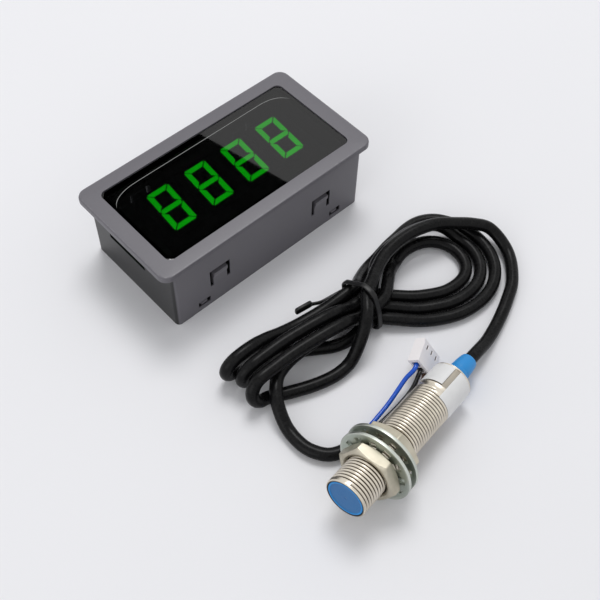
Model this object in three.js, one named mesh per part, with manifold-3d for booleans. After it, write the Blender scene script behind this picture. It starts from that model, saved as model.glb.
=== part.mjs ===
// Digital tachometer: a panel meter with a four-digit display, and the threaded sensor that
// counts the turns, with its cable tied in a hank and ending in a three-way plug.
// Millimetres. +Z points out of the display, +X to the display's right, +Y to its top.
// The origin is the centre of the meter's rear face, which lies on the bench beside the sensor.
import * as THREE from "three";
import { mergeVertices } from "three/addons/utils/BufferGeometryUtils.js";
import Module from "manifold-3d";

const wasm = await Module();
wasm.setup();

// General
const pieceGap = 0.3; // between pieces that nearly touch
const overrun = 1; // how far a cutting tool runs past what it cuts
const weldTolerance = 1e-4; // points nearer than this are one point
const roundParts = 32; // sides of a large round piece
const smallRoundParts = 16; // sides of a small round piece
const cornerParts = 4; // steps in a rounded corner

// Meter case
const bezelLength = 79;
const bezelWidth = 41.6;
const caseHeight = 26; // rear face to the bezel's front
const bezelThickness = 1.9;
const bezelOverhangLong = 3.3; // past the body at each short side
const bezelOverhangWide = 1.33; // past the body at each long side
const bezelCorner = 3.2;
const bezelChamfer = 0.6;
const bodyCorner = 1.5;
const caseWall = 1.8;
const frontWall = 3.2;

// Display window
const windowLength = 68;
const windowWidth = 32;
const windowThickness = 1.5;
const windowSink = 0.4; // below the bezel's front
const windowGap = 0.2; // round the window
const windowLedge = 1.5; // what the window rests on, each side
const windowCorner = 1.8;

// Snap tongues in the long walls
const tongueWidth = 5;
const tongueThickness = 1.2;
const tongueTop = 13.6;
const tongueRoot = 8;
const tongueSlot = 1.2; // beside and above the tongue
const tonguePlace = 19.8; // from the middle, along X
const tongueRamp = 0.5; // how far its catch stands proud of the wall
const tongueCatch = 2.4; // height of its catch

// Rear cover and its hooks
const coverThickness = 1.8;
const coverGap = 0.25; // to the walls
const hookPlace = 26.1; // from the middle, along X
const hookWidth = 3.6;
const hookThickness = 1.2;
const hookHeight = 4.5;
const catchReach = 1.1; // how far a hook's catch reaches into the wall
const catchLow = 2.2;
const catchHigh = 3.6;
const catchGap = 0.4; // round a catch in its wall window
const coverPost = 3; // square posts that press the board up
const postInset = 4.6; // from the inner walls to a post's middle

// Circuit board
const boardThickness = 1;
const boardMiddle = 14.2; // height of its middle
const boardSideGap = 2.17; // to the long walls, clear of the tongues
const boardGap = 0.3; // to the short walls
const boardTab = 15.6; // width of the end tab in the wall's slit
const boardTabMiddle = 2.4;
const boardTabSink = 0.5; // from the wall's outer face
const slitHeight = 1.6;
const slitEndGap = 0.4;
const seatGap = 0.2; // between the board and the ribs and posts that hold it
const caseRib = 3; // square ribs that the board is pressed against

// Display module and its digits
const displayLength = 54.8;
const displayWidth = 19;
const displayDrop = 0.8; // below the window
const pinStandoff = 0.6; // between the board and the module
const pinRow = 15.24; // between the two pin rows
const pinRowWidth = 2;
const pinRowLength = 50.8;
const digitCount = 4;
const digitPitch = 13.7;
const digitHeight = 15.5;
const digitWidth = 7.75;
const digitMiddle = 0.35; // from the window's middle, along Y
const digitSlant = 4.8; // degrees
const digitPlate = 0.4;
const digitPlateGap = 0.3;
const digitPlateMargin = 0.6;
const segmentWidth = 1.6;
const segmentRise = 0.2;
const segmentGap = 0.18; // from the line where two bars meet, along X and Y
const segmentCut = 0.3; // at the digit's corners
const segmentTipGap = 0.08; // from the digit's side to the middle bar

// Parts on the board's rear side
const controllerLength = 12.8;
const controllerWidth = 7.5;
const controllerHeight = 2.3;
const regulatorLength = 6.5;
const regulatorWidth = 6;
const regulatorTab = 1.6;
const capacitorRadius = 3.15;
const capacitorHeight = 7;
const capacitorGroove = 0.35;
const partRow = 9.6; // from the middle to the parts beside the headers, along Y

// Plug on the sensor cable, and the headers that take it
const plugWays = 3;
const plugPitch = 2.5;
const plugLength = 7.8;
const plugWidth = 9;
const plugDepth = 3.6;
const plugChannel = 1.9; // square hole for a terminal
const plugSlotLength = 1.8; // latch slots in the plug's broad face
const plugSlotWidth = 0.7;
const plugSlotDepth = 0.5;
const plugSlotPlace = 2; // from the plug's middle towards its mating end
const plugStep = 1.1; // low shoulder at the plug's mating end
const plugStepDepth = 0.4;
const terminalSize = 1.3;
const terminalLength = 5.4;
const headerHeight = 7;
const headerWall = 0.6;
const headerFloor = 1.2;
const headerClearance = 0.3;
const headerPin = 0.6;
const headerPinLength = 3.8;
const headerPlace = 20; // from the middle, along X
const powerWays = 2;
const coverWindowMargin = 0.8; // round a header's mouth in the rear cover

// Sensor barrel
const threadRadius = 6; // M12 x 1
const threadPitch = 1;
const threadDepth = 0.55;
const barrelLength = 49.4;
const threadStart = 1.4;
const threadEnd = 39.4;
const threadRelief = 1.2;
const barrelBore = 4.9;
const faceRecess = 5.35;
const faceRecessDepth = 1.8;
const faceRadius = 5.1;
const faceThickness = 1.4;
const rimChamfer = 0.3;
const lipThickness = 1.2;
const lipHole = 3.5;
const labelSeat = 5.7;
const labelInner = 5.95;
const labelOuter = 6.2;
const labelStart = 41.6;
const labelEnd = 48.6;
const labelOpening = 16; // degrees left bare
const labelTurn = 21; // degrees, the bare strip's middle from straight up

// Inside the sensor
const elementLength = 1.5;
const elementWidth = 4;
const elementThickness = 3;
const sensorBoardWidth = 9.2;
const sensorBoardThickness = 1.2;
const sensorBoardLength = 33;

// Cable exit plug
const exitLength = 8.8; // past the barrel
const exitRadius = 3.15;
const exitTip = 2.55;
const exitFlange = 4.5;
const exitFlangeThickness = 1.4;
const exitRound = 0.4;

// Nuts and toothed washers
const nutAcross = 15.5;
const nutThickness = 3.8;
const nutBore = 6.2;
const nutBoreChamfer = 0.6;
const nutChamfer = 30; // degrees
const nutFace = 7.4; // radius of the flat face inside the chamfer
const frontNutPlace = 8.4;
const frontNutTurn = 30; // degrees
const rearNutTurn = 12; // degrees
const washerRadius = 10.8;
const washerThickness = 0.9;
const washerInner = 9.3;
const washerTip = 6.6;
const washerTeeth = 12;
const toothRootAngle = 8; // degrees, half of a tooth
const toothTipAngle = 6.5; // degrees, half of a tooth
const washerSag = 0.35; // the front washer hangs this much low
const panelSpace = 2.1; // between the two washers

// How the sensor lies
const sensorHeading = 8.59; // degrees from +X
const sensorDip = 7.65; // degrees, its cable end low
const sensorFaceX = -41.83;
const sensorFaceY = -93.9;
const floorGap = 0.1; // under the washers

// Cable
const cableDiameter = 3.8;
const tubeSides = 8;
const cableStep = 9; // between rings on a free stretch
const joinGap = 0.15; // each side of a joint between two stretches
const wireDiameter = 1.3;
const wireStep = 3.3;
const wireSpread = 0.95; // from the cable's middle to a wire's

// Hank: three loops that all pass through the tie
const hankX = 6; // where the tie is
const hankY = -52;
const strandPitch = 4.4; // beside each other
const strandLayer = 4.4; // on each other
const strandLow = 2; // height of the lowest layer's middle
const tieLift = 1.5; // how far the tie's band lifts the strands
const tieLiftReach = 14;
const hankSides = 6;
const turnOrder = [0, 2, 1]; // front tip with inner lobe, then back with outer, then the middles
const firstRunShares = [0.106, 0.155, 0.461, 0.92]; // points on the way out, as shares of it
const lowerRunShares = [0.179, 0.435, 0.593, 0.97];
const upperRunShares = [0.93, 0.728, 0.454, 0.369, 0.09];
const tipShares = [0.053, 0.497, 0.583, 0.847];
const lobeShares = [0.041, 0.087, 0.13, 0.276, 0.416, 0.491, 0.586, 0.664, 0.751, 0.859, 0.957];
const tipReach = [39.3, 37.8, 39.7]; // front, middle and back tip
const tipLow = [-3.2, 4.4, 9]; // across, where each lower run meets its tip
const tipHigh = [-1.1, 3.5, 8]; // across, where each upper run leaves it
const leadBow = 8.6; // how far the first run bows out
const leadBowPowerShare = 0.8;
const firstFall = [4, 17]; // from the tie, where the first run falls to the bench
const middleSpread = [9, 29]; // from the tie, where the middle tip's lower run moves across
const backSpread = [0, 20];
const upperSpread = [0, 32];
const upperRise = [[2.5, 13], [2.5, 13], [20, 37]]; // from the tie, where each upper run rises
const lobeReach = 37.5;
const lobeTop = 9.3;
const lobeBottom = 9.8;
const lobeBluntShare = 0.92;
const lobeEaseShares = [-0.005, 0.115];
const lobeStartShare = 0.222; // of the way round, until the start's place across has faded
const lobeTiltShare = 0.08;
const lobeProbeShare = 0.004; // for the direction along a lobe
const lobeFallShares = [[0.095, 0.155], [0.35, 0.48], [0.045, 0.135]]; // where each lobe comes down
const lobeTuckShares = [[0, 0, 1, 0, 1], [0.5, 0.12, 0.22, 0.3, 0.44], [0.44, 0.06, 0.2, 0.22, 0.38]];
const gapSample = 1; // between the points where gaps are measured
const gapNeighbourhood = 10; // along the cable, left out of the measured gaps

// Tie round the hank, with its loose end and the tab on it
const tieWidth = 1.6;
const tieThickness = 0.8;
const tieGap = 0.65; // round the strands, which slant where they pass through it
const tieLeadSlant = 0.6; // how far the top strand moves across inside it
const tieTailLength = 14.4;
const tieTailThickness = 0.8;
const tieTailWidth = 1.2;
const tieTailHeight = 7.6;
const tieTailIn = 7.55; // from the tie's middle to the loose end's root, along Y
const tieTailTurn = 8; // degrees, the loose end's way out from the hank
const tieTabLength = 5.6;
const tieTabHeight = 2.4;
const tieTabThickness = 1.2;

// Plug as it lies on the bench
const plugX = 6.63;
const plugY = -76.38;
const plugHeading = 27; // degrees
const plugLean = 54.5; // degrees
const plugFloorGap = 0.1;
const wireInset = 1.5; // how far a wire runs into the plug
const terminalInset = 0.6; // from the plug's mating end
const terminalBore = 0.7;
const terminalBack = 1; // its closed rear part

// Colours, with roughness and metalness
const finishes = {
  casePlastic: [0x646268, 0.55, 0],
  smokedWindow: [0x1c1e1e, 0.08, 0],
  displayHousing: [0x101110, 0.6, 0],
  litSegment: [0x068c10, 0.4, 0],
  circuitBoard: [0x1f5c33, 0.5, 0],
  blackComponent: [0x17181a, 0.5, 0],
  canMetal: [0xb9bcc0, 0.35, 0.9],
  headerPlastic: [0xe6e2d6, 0.5, 0],
  nickel: [0xd7cdbe, 0.28, 1],
  sensorBlue: [0x3e6ea5, 0.45, 0],
  exitBlue: [0x3291d7, 0.45, 0],
  labelWhite: [0xe2e2e4, 0.5, 0],
  cableBlack: [0x121214, 0.5, 0],
  tieBlack: [0x141414, 0.5, 0],
  wireBlue: [0x1e50be, 0.4, 0],
  wireBlack: [0x141210, 0.4, 0],
  wireBrown: [0x5a3826, 0.4, 0],
  plugWhite: [0xe8e4e8, 0.45, 0],
  tinned: [0xc8c8c4, 0.3, 1],
};

const radians = THREE.MathUtils.degToRad;
const at = (x, y, z) => new THREE.Vector3(x, y, z);
const smooth = (t) => THREE.MathUtils.smoothstep(t, 0, 1);
const root = new THREE.Group();

// A closed geometry as a solid that can be cut and joined.
function solid(geometry) {
  const bare = new THREE.BufferGeometry();
  bare.setAttribute("position", geometry.getAttribute("position"));
  if (geometry.index) bare.setIndex(geometry.index);
  const merged = mergeVertices(bare, weldTolerance);
  const vertProperties = merged.attributes.position.array;
  const triVerts = new Uint32Array(merged.index.array);
  return new wasm.Manifold(new wasm.Mesh({ numProp: 3, vertProperties, triVerts }));
}

function geometryOf(made) {
  const mesh = made.getMesh();
  const geometry = new THREE.BufferGeometry();
  geometry.setAttribute("position", new THREE.BufferAttribute(mesh.vertProperties, 3));
  geometry.setIndex(new THREE.BufferAttribute(mesh.triVerts, 1));
  return geometry;
}

function addPiece(name, finish, shape, group = root) {
  const geometry = shape.isBufferGeometry ? shape : geometryOf(shape);
  const [color, roughness, metalness] = finishes[finish];
  const mesh = new THREE.Mesh(geometry, new THREE.MeshStandardMaterial({ color, roughness, metalness }));
  mesh.name = name;
  group.add(mesh);
  return mesh;
}

// A box from its lowest to its highest corner.
function box(x0, y0, z0, x1, y1, z1) {
  const geometry = new THREE.BoxGeometry(x1 - x0, y1 - y0, z1 - z0);
  return solid(geometry.translate((x0 + x1) / 2, (y0 + y1) / 2, (z0 + z1) / 2));
}

// A box with its middle at x, y, from height z0 to z1.
function post(x, y, width, depth, z0, z1) {
  return box(x - width / 2, y - depth / 2, z0, x + width / 2, y + depth / 2, z1);
}

function roundedOutline(length, width, corner) {
  const x = length / 2 - corner;
  const y = width / 2 - corner;
  const quarter = Math.PI / 2;
  const outline = new THREE.Shape();
  outline.absarc(x, y, corner, 0, quarter);
  outline.absarc(-x, y, corner, quarter, 2 * quarter);
  outline.absarc(-x, -y, corner, 2 * quarter, 3 * quarter);
  outline.absarc(x, -y, corner, 3 * quarter, 4 * quarter);
  return outline;
}

function extruded(outline, z0, z1, curveSegments = cornerParts) {
  const settings = { depth: z1 - z0, bevelEnabled: false, curveSegments };
  return solid(new THREE.ExtrudeGeometry(outline, settings).translate(0, 0, z0));
}

function roundedPlate(length, width, corner, z0, z1) {
  return extruded(roundedOutline(length, width, corner), z0, z1);
}

// A profile of radius and height turned about Z, closed on itself.
function turned(profile, parts) {
  const points = profile.map(([radius, height]) => new THREE.Vector2(radius, height));
  if (THREE.ShapeUtils.area(points) < 0) points.reverse();
  points.push(points[0].clone());
  return solid(new THREE.LatheGeometry(points, parts).rotateX(Math.PI / 2));
}

function disc(radius, z0, z1, parts) {
  return turned([[0, z0], [radius, z0], [radius, z1], [0, z1]], parts);
}

// A profile in Y and Z, run along X from x0 to x1. With side -1 it is turned about Z to face -Y.
function alongX(outline, x0, x1, side = 1) {
  const settings = { depth: x1 - x0, bevelEnabled: false, curveSegments: cornerParts };
  const geometry = new THREE.ExtrudeGeometry(outline, settings).translate(0, 0, side > 0 ? x0 : -x1);
  const turn = new THREE.Matrix4().makeBasis(at(0, side, 0), at(0, 0, 1), at(side, 0, 0));
  return solid(geometry.applyMatrix4(turn));
}

function outlineOf(points) {
  return new THREE.Shape(points.map(([x, y]) => new THREE.Vector2(x, y)));
}

// METER

const bodyLength = bezelLength - 2 * bezelOverhangLong;
const bodyWidth = bezelWidth - 2 * bezelOverhangWide;
const innerLength = bodyLength - 2 * caseWall;
const innerWidth = bodyWidth - 2 * caseWall;
const bezelLow = caseHeight - bezelThickness;
const frontWallLow = caseHeight - frontWall;
const windowSeat = caseHeight - windowSink - windowThickness;
const boardLow = boardMiddle - boardThickness / 2;
const boardTop = boardMiddle + boardThickness / 2;
const displayTop = windowSeat - displayDrop;
const bothSides = [-1, 1];

function headerSize(ways) {
  const inner = plugWidth - (plugWays - ways) * plugPitch + 2 * headerClearance;
  const innerDepth = plugDepth + 2 * headerClearance;
  return { inner, innerDepth, outer: inner + 2 * headerWall, outerDepth: innerDepth + 2 * headerWall };
}

function bezelPlate() {
  const settings = {
    depth: bezelThickness,
    bevelThickness: bezelChamfer,
    bevelSize: bezelChamfer,
    bevelOffset: -bezelChamfer,
    bevelSegments: 2,
    curveSegments: cornerParts,
  };
  const plate = new THREE.ExtrudeGeometry(roundedOutline(bezelLength, bezelWidth, bezelCorner), settings);
  const below = post(0, 0, 2 * bezelLength, 2 * bezelWidth, 0, bezelLow);
  return solid(plate.translate(0, 0, bezelLow - bezelChamfer)).subtract(below);
}

function frontCase() {
  let made = roundedPlate(bodyLength, bodyWidth, bodyCorner, 0, bezelLow + bezelChamfer).add(bezelPlate());
  made = made.subtract(post(0, 0, innerLength, innerWidth, -overrun, frontWallLow));
  const recessLength = windowLength + 2 * windowGap;
  const recessWidth = windowWidth + 2 * windowGap;
  const recess = roundedPlate(recessLength, recessWidth, windowCorner + windowGap, windowSeat, caseHeight + overrun);
  const viewLength = recessLength - 2 * windowLedge;
  const viewWidth = recessWidth - 2 * windowLedge;
  made = made.subtract(recess).subtract(post(0, 0, viewLength, viewWidth, frontWallLow - overrun, caseHeight));
  const slotWidth = tongueWidth + 2 * tongueSlot;
  const wallMiddle = (bodyWidth - caseWall) / 2;
  const cutDepth = caseWall + 2 * overrun;
  for (const sideX of bothSides) {
    for (const sideY of bothSides) {
      const y = sideY * wallMiddle;
      made = made.subtract(post(sideX * tonguePlace, y, slotWidth, cutDepth, tongueRoot, tongueTop + tongueSlot));
      const hookWindow = hookWidth + 2 * catchGap;
      const x = sideX * hookPlace;
      made = made.subtract(post(x, y, hookWindow, cutDepth, catchLow - catchGap, catchHigh + catchGap));
      const ribX = sideX * (innerLength - caseRib + overrun) / 2;
      const ribY = sideY * (innerWidth - caseRib + overrun) / 2;
      const rib = caseRib + overrun;
      made = made.add(post(ribX, ribY, rib, rib, boardTop + seatGap, frontWallLow + overrun));
    }
  }
  const slitWidth = boardTab + 2 * slitEndGap;
  const slitLow = boardMiddle - slitHeight / 2;
  const slitX = -(bodyLength - caseWall) / 2;
  return made.subtract(post(slitX, boardTabMiddle, cutDepth, slitWidth, slitLow, slitLow + slitHeight));
}

function snapTongue(side) {
  const outer = bodyWidth / 2;
  const low = tongueRoot + pieceGap;
  const outline = outlineOf([
    [outer - tongueThickness, low],
    [outer, low],
    [outer, tongueTop - tongueCatch],
    [outer + tongueRamp, tongueTop - tongueCatch / 2],
    [outer + tongueRamp, tongueTop],
    [outer - tongueThickness, tongueTop],
  ]);
  return alongX(outline, -tongueWidth / 2, tongueWidth / 2, side);
}

function rearCover() {
  const coverLength = innerLength - 2 * coverGap;
  const coverWidth = innerWidth - 2 * coverGap;
  let made = post(0, 0, coverLength, coverWidth, 0, coverThickness);
  const edge = coverWidth / 2;
  const reach = innerWidth / 2 + catchReach;
  const outline = outlineOf([
    [edge - hookThickness, coverThickness / 2],
    [edge, coverThickness / 2],
    [edge, catchLow],
    [reach, catchLow],
    [reach, (catchLow + catchHigh) / 2],
    [edge, catchHigh],
    [edge, hookHeight],
    [edge - hookThickness, hookHeight],
  ]);
  for (const sideX of bothSides) {
    for (const sideY of bothSides) {
      const start = sideX * hookPlace - hookWidth / 2;
      made = made.add(alongX(outline, start, start + hookWidth, sideY));
      const postX = sideX * (innerLength / 2 - postInset);
      const postY = sideY * (innerWidth / 2 - postInset);
      made = made.add(post(postX, postY, coverPost, coverPost, coverThickness / 2, boardLow - seatGap));
    }
  }
  for (const [sideX, ways] of [[-1, plugWays], [1, powerWays]]) {
    const header = headerSize(ways);
    const length = header.outer + 2 * coverWindowMargin;
    const width = header.outerDepth + 2 * coverWindowMargin;
    made = made.subtract(post(sideX * headerPlace, 0, length, width, -overrun, coverThickness + overrun));
  }
  return made;
}

function mainBoard() {
  const length = innerLength - 2 * boardGap;
  const tabEnd = bodyLength / 2 - boardTabSink;
  const halfTab = boardTab / 2;
  const tab = box(-tabEnd, boardTabMiddle - halfTab, boardLow, 0, boardTabMiddle + halfTab, boardTop);
  return post(0, 0, length, innerWidth - 2 * boardSideGap, boardLow, boardTop).add(tab);
}

// The bars of a digit as flat outlines, their slanting ends meeting at thin gaps.
function digitBars() {
  const across = digitWidth / 2;
  const up = digitHeight / 2;
  const outer = across - segmentGap;
  const inner = outer - segmentWidth;
  const cut = segmentCut;
  const half = segmentWidth / 2;
  const tip = across - segmentTipGap;
  const top = [
    [cut - outer, up],
    [cut / 2 - outer, up - cut / 2],
    [-inner, up - segmentWidth],
    [inner, up - segmentWidth],
    [outer - cut / 2, up - cut / 2],
    [outer - cut, up],
  ];
  const middle = [
    [cut - tip, cut],
    [cut - tip, -cut],
    [half - tip, -half],
    [tip - half, -half],
    [tip - cut, -cut],
    [tip - cut, cut],
    [tip - half, half],
    [half - tip, half],
  ];
  const side = [
    [across, segmentGap + cut],
    [across, up - segmentGap - cut],
    [across - cut / 2, up - segmentGap - cut / 2],
    [across - segmentWidth, up - segmentGap - segmentWidth],
    [across - segmentWidth, segmentGap + segmentWidth],
    [across - cut / 2, segmentGap + cut / 2],
  ];
  const bars = [top, top.map(([x, y]) => [x, -y]), middle];
  for (const sideX of bothSides) {
    for (const sideY of bothSides) bars.push(side.map(([x, y]) => [x * sideX, y * sideY]));
  }
  return bars;
}

function digit() {
  const plateTop = displayTop - segmentRise;
  const plateLength = digitPitch - digitPlateGap;
  const plateWidth = displayWidth - 2 * digitPlateMargin;
  const lean = Math.tan(radians(digitSlant));
  let made = post(0, 0, plateLength, plateWidth, plateTop - digitPlate, plateTop);
  for (const bar of digitBars()) {
    const leaning = bar.map(([x, y]) => [x + y * lean, y + digitMiddle]);
    made = made.add(extruded(outlineOf(leaning), plateTop - digitPlate / 2, displayTop));
  }
  return made;
}

// A header open downwards, towards the rear cover's window.
function header(ways) {
  const { inner, innerDepth, outer, outerDepth } = headerSize(ways);
  const mouth = boardLow - headerHeight;
  const floor = boardLow - headerFloor;
  const shell = post(0, 0, outer, outerDepth, mouth, boardLow);
  let made = shell.subtract(post(0, 0, inner, innerDepth, mouth - overrun, floor));
  for (let way = 0; way < ways; way++) {
    const x = (way - (ways - 1) / 2) * plugPitch;
    made = made.add(post(x, 0, headerPin, headerPin, floor - headerPinLength, floor + headerFloor / 2));
  }
  return made;
}

function capacitor() {
  const low = boardLow - capacitorHeight;
  const groove = capacitorRadius - capacitorGroove;
  const neck = low + capacitorHeight - 2 * capacitorGroove - headerFloor;
  return turned(
    [
      [0, low],
      [capacitorRadius - capacitorGroove, low],
      [capacitorRadius, low + capacitorGroove],
      [capacitorRadius, neck - capacitorGroove],
      [groove, neck],
      [capacitorRadius, neck + capacitorGroove],
      [capacitorRadius, boardLow],
      [0, boardLow],
    ],
    smallRoundParts,
  );
}

function regulator() {
  const low = boardLow - controllerHeight;
  const body = post(0, 0, regulatorLength, regulatorWidth, low, boardLow);
  const tabEnd = regulatorWidth / 2 + regulatorTab;
  const halfTab = (regulatorLength - regulatorTab) / 2;
  return body.add(box(-halfTab, 0, boardLow - regulatorTab / 2, halfTab, tabEnd, boardLow));
}

addPiece("front_case", "casePlastic", frontCase());
const windowPlate = roundedPlate(windowLength, windowWidth, windowCorner, windowSeat, windowSeat + windowThickness);
addPiece("display_window", "smokedWindow", windowPlate);
for (const sideY of bothSides) {
  for (const sideX of bothSides) {
    const name = "snap_tongue_" + (sideY < 0 ? "front" : "back") + (sideX < 0 ? "_left" : "_right");
    addPiece(name, "casePlastic", snapTongue(sideY)).position.x = sideX * tonguePlace;
  }
}
addPiece("rear_cover", "casePlastic", rearCover());
addPiece("main_board", "circuitBoard", mainBoard());
const moduleTop = displayTop - segmentRise - digitPlate;
const displayModule = post(0, 0, displayLength, displayWidth, boardTop + pinStandoff, moduleTop);
addPiece("display_module", "displayHousing", displayModule);
for (let number = 0; number < digitCount; number++) {
  const piece = addPiece("digit_" + (number + 1), "litSegment", digit());
  piece.position.x = (number - (digitCount - 1) / 2) * digitPitch;
}
for (const [name, side] of [["front", -1], ["back", 1]]) {
  const strip = post(0, side * pinRow / 2, pinRowLength, pinRowWidth, boardTop, boardTop + pinStandoff);
  addPiece("pin_strip_" + name, "blackComponent", strip);
}
const controllerLow = boardLow - controllerHeight;
const controller = post(0, partRow, controllerLength, controllerWidth, controllerLow, boardLow);
addPiece("microcontroller", "blackComponent", controller);
const regulatorPiece = addPiece("regulator", "blackComponent", regulator());
regulatorPiece.position.set(controllerLength / 2 + regulatorLength / 2, -partRow, 0);
const capacitorPiece = addPiece("capacitor", "canMetal", capacitor());
capacitorPiece.position.set(-controllerLength / 2, -partRow, 0);
addPiece("sensor_header", "headerPlastic", header(plugWays)).position.x = -headerPlace;
addPiece("power_header", "headerPlastic", header(powerWays)).position.x = headerPlace;

// SENSOR, along its own +Z from the sensing face to the cable

const sensor = new THREE.Group();
root.add(sensor);
const heading = radians(sensorHeading);
const dip = radians(sensorDip);
const frontWasherPlace = frontNutPlace + nutThickness + pieceGap;
const rearWasherPlace = frontWasherPlace + washerThickness + panelSpace;
const rearNutPlace = rearWasherPlace + washerThickness + pieceGap;
const sensorAxis = at(Math.cos(dip) * Math.cos(heading), Math.cos(dip) * Math.sin(heading), -Math.sin(dip));
const sensorUp = at(Math.sin(dip) * Math.cos(heading), Math.sin(dip) * Math.sin(heading), Math.cos(dip));
const sensorSide = sensorAxis.clone().cross(sensorUp);
const washerLowest = washerRadius * Math.cos(dip) + (rearWasherPlace + washerThickness) * Math.sin(dip);
sensor.applyMatrix4(new THREE.Matrix4().makeBasis(sensorUp, sensorSide, sensorAxis));
sensor.position.set(sensorFaceX, sensorFaceY, floorGap + washerLowest);
sensor.updateMatrixWorld(true);

function sensorBarrel() {
  const root = threadRadius - threadDepth;
  const rim = threadRadius - rimChamfer;
  const profile = [[faceRecess, 0], [rim, 0], [threadRadius, rimChamfer], [threadRadius, threadStart]];
  const turns = Math.floor((threadEnd - threadStart) / threadPitch);
  for (let turn = 0; turn < turns; turn++) {
    const start = threadStart + turn * threadPitch;
    profile.push([root, start + threadPitch / 2], [threadRadius, start + threadPitch]);
  }
  const relief = threadStart + turns * threadPitch;
  profile.push(
    [root, relief + threadDepth],
    [root, relief + threadRelief],
    [threadRadius, relief + threadRelief + threadDepth],
    [threadRadius, labelStart - pieceGap],
    [labelSeat, labelStart - pieceGap],
    [labelSeat, labelEnd + pieceGap],
    [threadRadius, labelEnd + pieceGap],
    [threadRadius, barrelLength - rimChamfer],
    [threadRadius - rimChamfer, barrelLength],
    [lipHole, barrelLength],
    [lipHole, barrelLength - lipThickness],
    [barrelBore, barrelLength - lipThickness],
    [barrelBore, faceRecessDepth],
    [faceRecess, faceRecessDepth],
  );
  return turned(profile, roundParts);
}

function cableExit() {
  const start = barrelLength - lipThickness - pieceGap - exitFlangeThickness;
  const end = barrelLength + exitLength;
  const profile = [
    [0, start],
    [exitFlange, start],
    [exitFlange, start + exitFlangeThickness],
    [exitRadius, start + exitFlangeThickness],
    [exitRadius, barrelLength + exitRound],
    [exitTip, end - exitRound],
    [exitTip - exitRound, end],
    [0, end],
  ];
  return turned(profile, roundParts);
}

function sensorLabel() {
  const first = radians(labelTurn + labelOpening / 2);
  const last = radians(labelTurn - labelOpening / 2) + 2 * Math.PI;
  const outline = new THREE.Shape();
  outline.absarc(0, 0, labelOuter, first, last);
  outline.absarc(0, 0, labelInner, last, first, true);
  return extruded(outline, labelStart, labelEnd, roundParts);
}

function nut(place) {
  const corner = nutAcross / 2 / Math.cos(Math.PI / 6);
  const drop = (corner - nutFace) * Math.tan(radians(nutChamfer));
  const end = place + nutThickness;
  const hexagon = [0, 1, 2, 3, 4, 5].map((side) => {
    const angle = side * Math.PI / 3;
    return [corner * Math.cos(angle), corner * Math.sin(angle)];
  });
  const chamfered = turned(
    [[0, place], [nutFace, place], [corner, place + drop], [corner, end - drop], [nutFace, end], [0, end]],
    roundParts,
  );
  const mouth = nutBore + nutBoreChamfer;
  const bore = turned(
    [
      [0, place - overrun],
      [mouth + overrun, place - overrun],
      [nutBore, place + nutBoreChamfer],
      [nutBore, end - nutBoreChamfer],
      [mouth + overrun, end + overrun],
      [0, end + overrun],
    ],
    roundParts,
  );
  return extruded(outlineOf(hexagon), place, end).intersect(chamfered).subtract(bore);
}

function toothedWasher(place) {
  const outline = new THREE.Shape();
  outline.absarc(0, 0, washerRadius, 0, 2 * Math.PI);
  const edge = [];
  for (let tooth = 0; tooth < washerTeeth; tooth++) {
    const middle = tooth * 2 * Math.PI / washerTeeth;
    const flanks = [[washerInner, -toothRootAngle], [washerTip, -toothTipAngle]];
    flanks.push([washerTip, toothTipAngle], [washerInner, toothRootAngle]);
    for (const [radius, offset] of flanks) {
      const angle = middle + radians(offset);
      edge.push(new THREE.Vector2(radius * Math.cos(angle), radius * Math.sin(angle)));
    }
  }
  outline.holes.push(new THREE.Path(edge));
  return extruded(outline, place, place + washerThickness, smallRoundParts);
}

const elementPlace = faceRecessDepth + pieceGap;
const sensorBoardPlace = elementPlace + elementLength + pieceGap;
addPiece("sensor_barrel", "nickel", sensorBarrel(), sensor);
addPiece("sensing_face", "sensorBlue", disc(faceRadius, 0, faceThickness, roundParts), sensor);
const element = post(0, 0, elementThickness, elementWidth, elementPlace, elementPlace + elementLength);
addPiece("hall_element", "blackComponent", element, sensor);
const sensorBoardEnd = sensorBoardPlace + sensorBoardLength;
const sensorBoard = post(0, 0, sensorBoardThickness, sensorBoardWidth, sensorBoardPlace, sensorBoardEnd);
addPiece("sensor_board", "circuitBoard", sensorBoard, sensor);
addPiece("cable_exit", "exitBlue", cableExit(), sensor);
addPiece("sensor_label", "labelWhite", sensorLabel(), sensor);
addPiece("front_nut", "nickel", nut(frontNutPlace), sensor).rotation.z = radians(frontNutTurn);
addPiece("rear_nut", "nickel", nut(rearNutPlace), sensor).rotation.z = radians(rearNutTurn);
addPiece("front_washer", "nickel", toothedWasher(frontWasherPlace), sensor).position.x = -washerSag;
addPiece("rear_washer", "nickel", toothedWasher(rearWasherPlace), sensor);

// CABLE

const alongSensor = (place) => sensorAxis.clone().multiplyScalar(place).add(sensor.position);
const cableStart = alongSensor(barrelLength + exitLength + pieceGap);
const toward = (from, direction, distance) => direction.clone().multiplyScalar(distance).add(from);

// The free stretch from the sensor to the hank, then the last run over the hank to the tie.
const leadRoute = [
  [19.2, -84.7, 4.6],
  [25.5, -83.5, 2.7],
  [33, -81.2, 2],
  [41, -77.9, 2],
  [48, -74, 2],
];
const leadOverHank = [
  [55.4, -57.6, 5.4],
  [51.8, -53.8, 6.9],
  [47, -50.8, 8.4],
  [41.2, -48, 10.3],
  [35, -46, 10.8],
  [28, -45.2, 10.8],
  [21, -46, 10.8],
  [15, -48.4, 10.8],
  [10.2, -51, 10.8],
];

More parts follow.
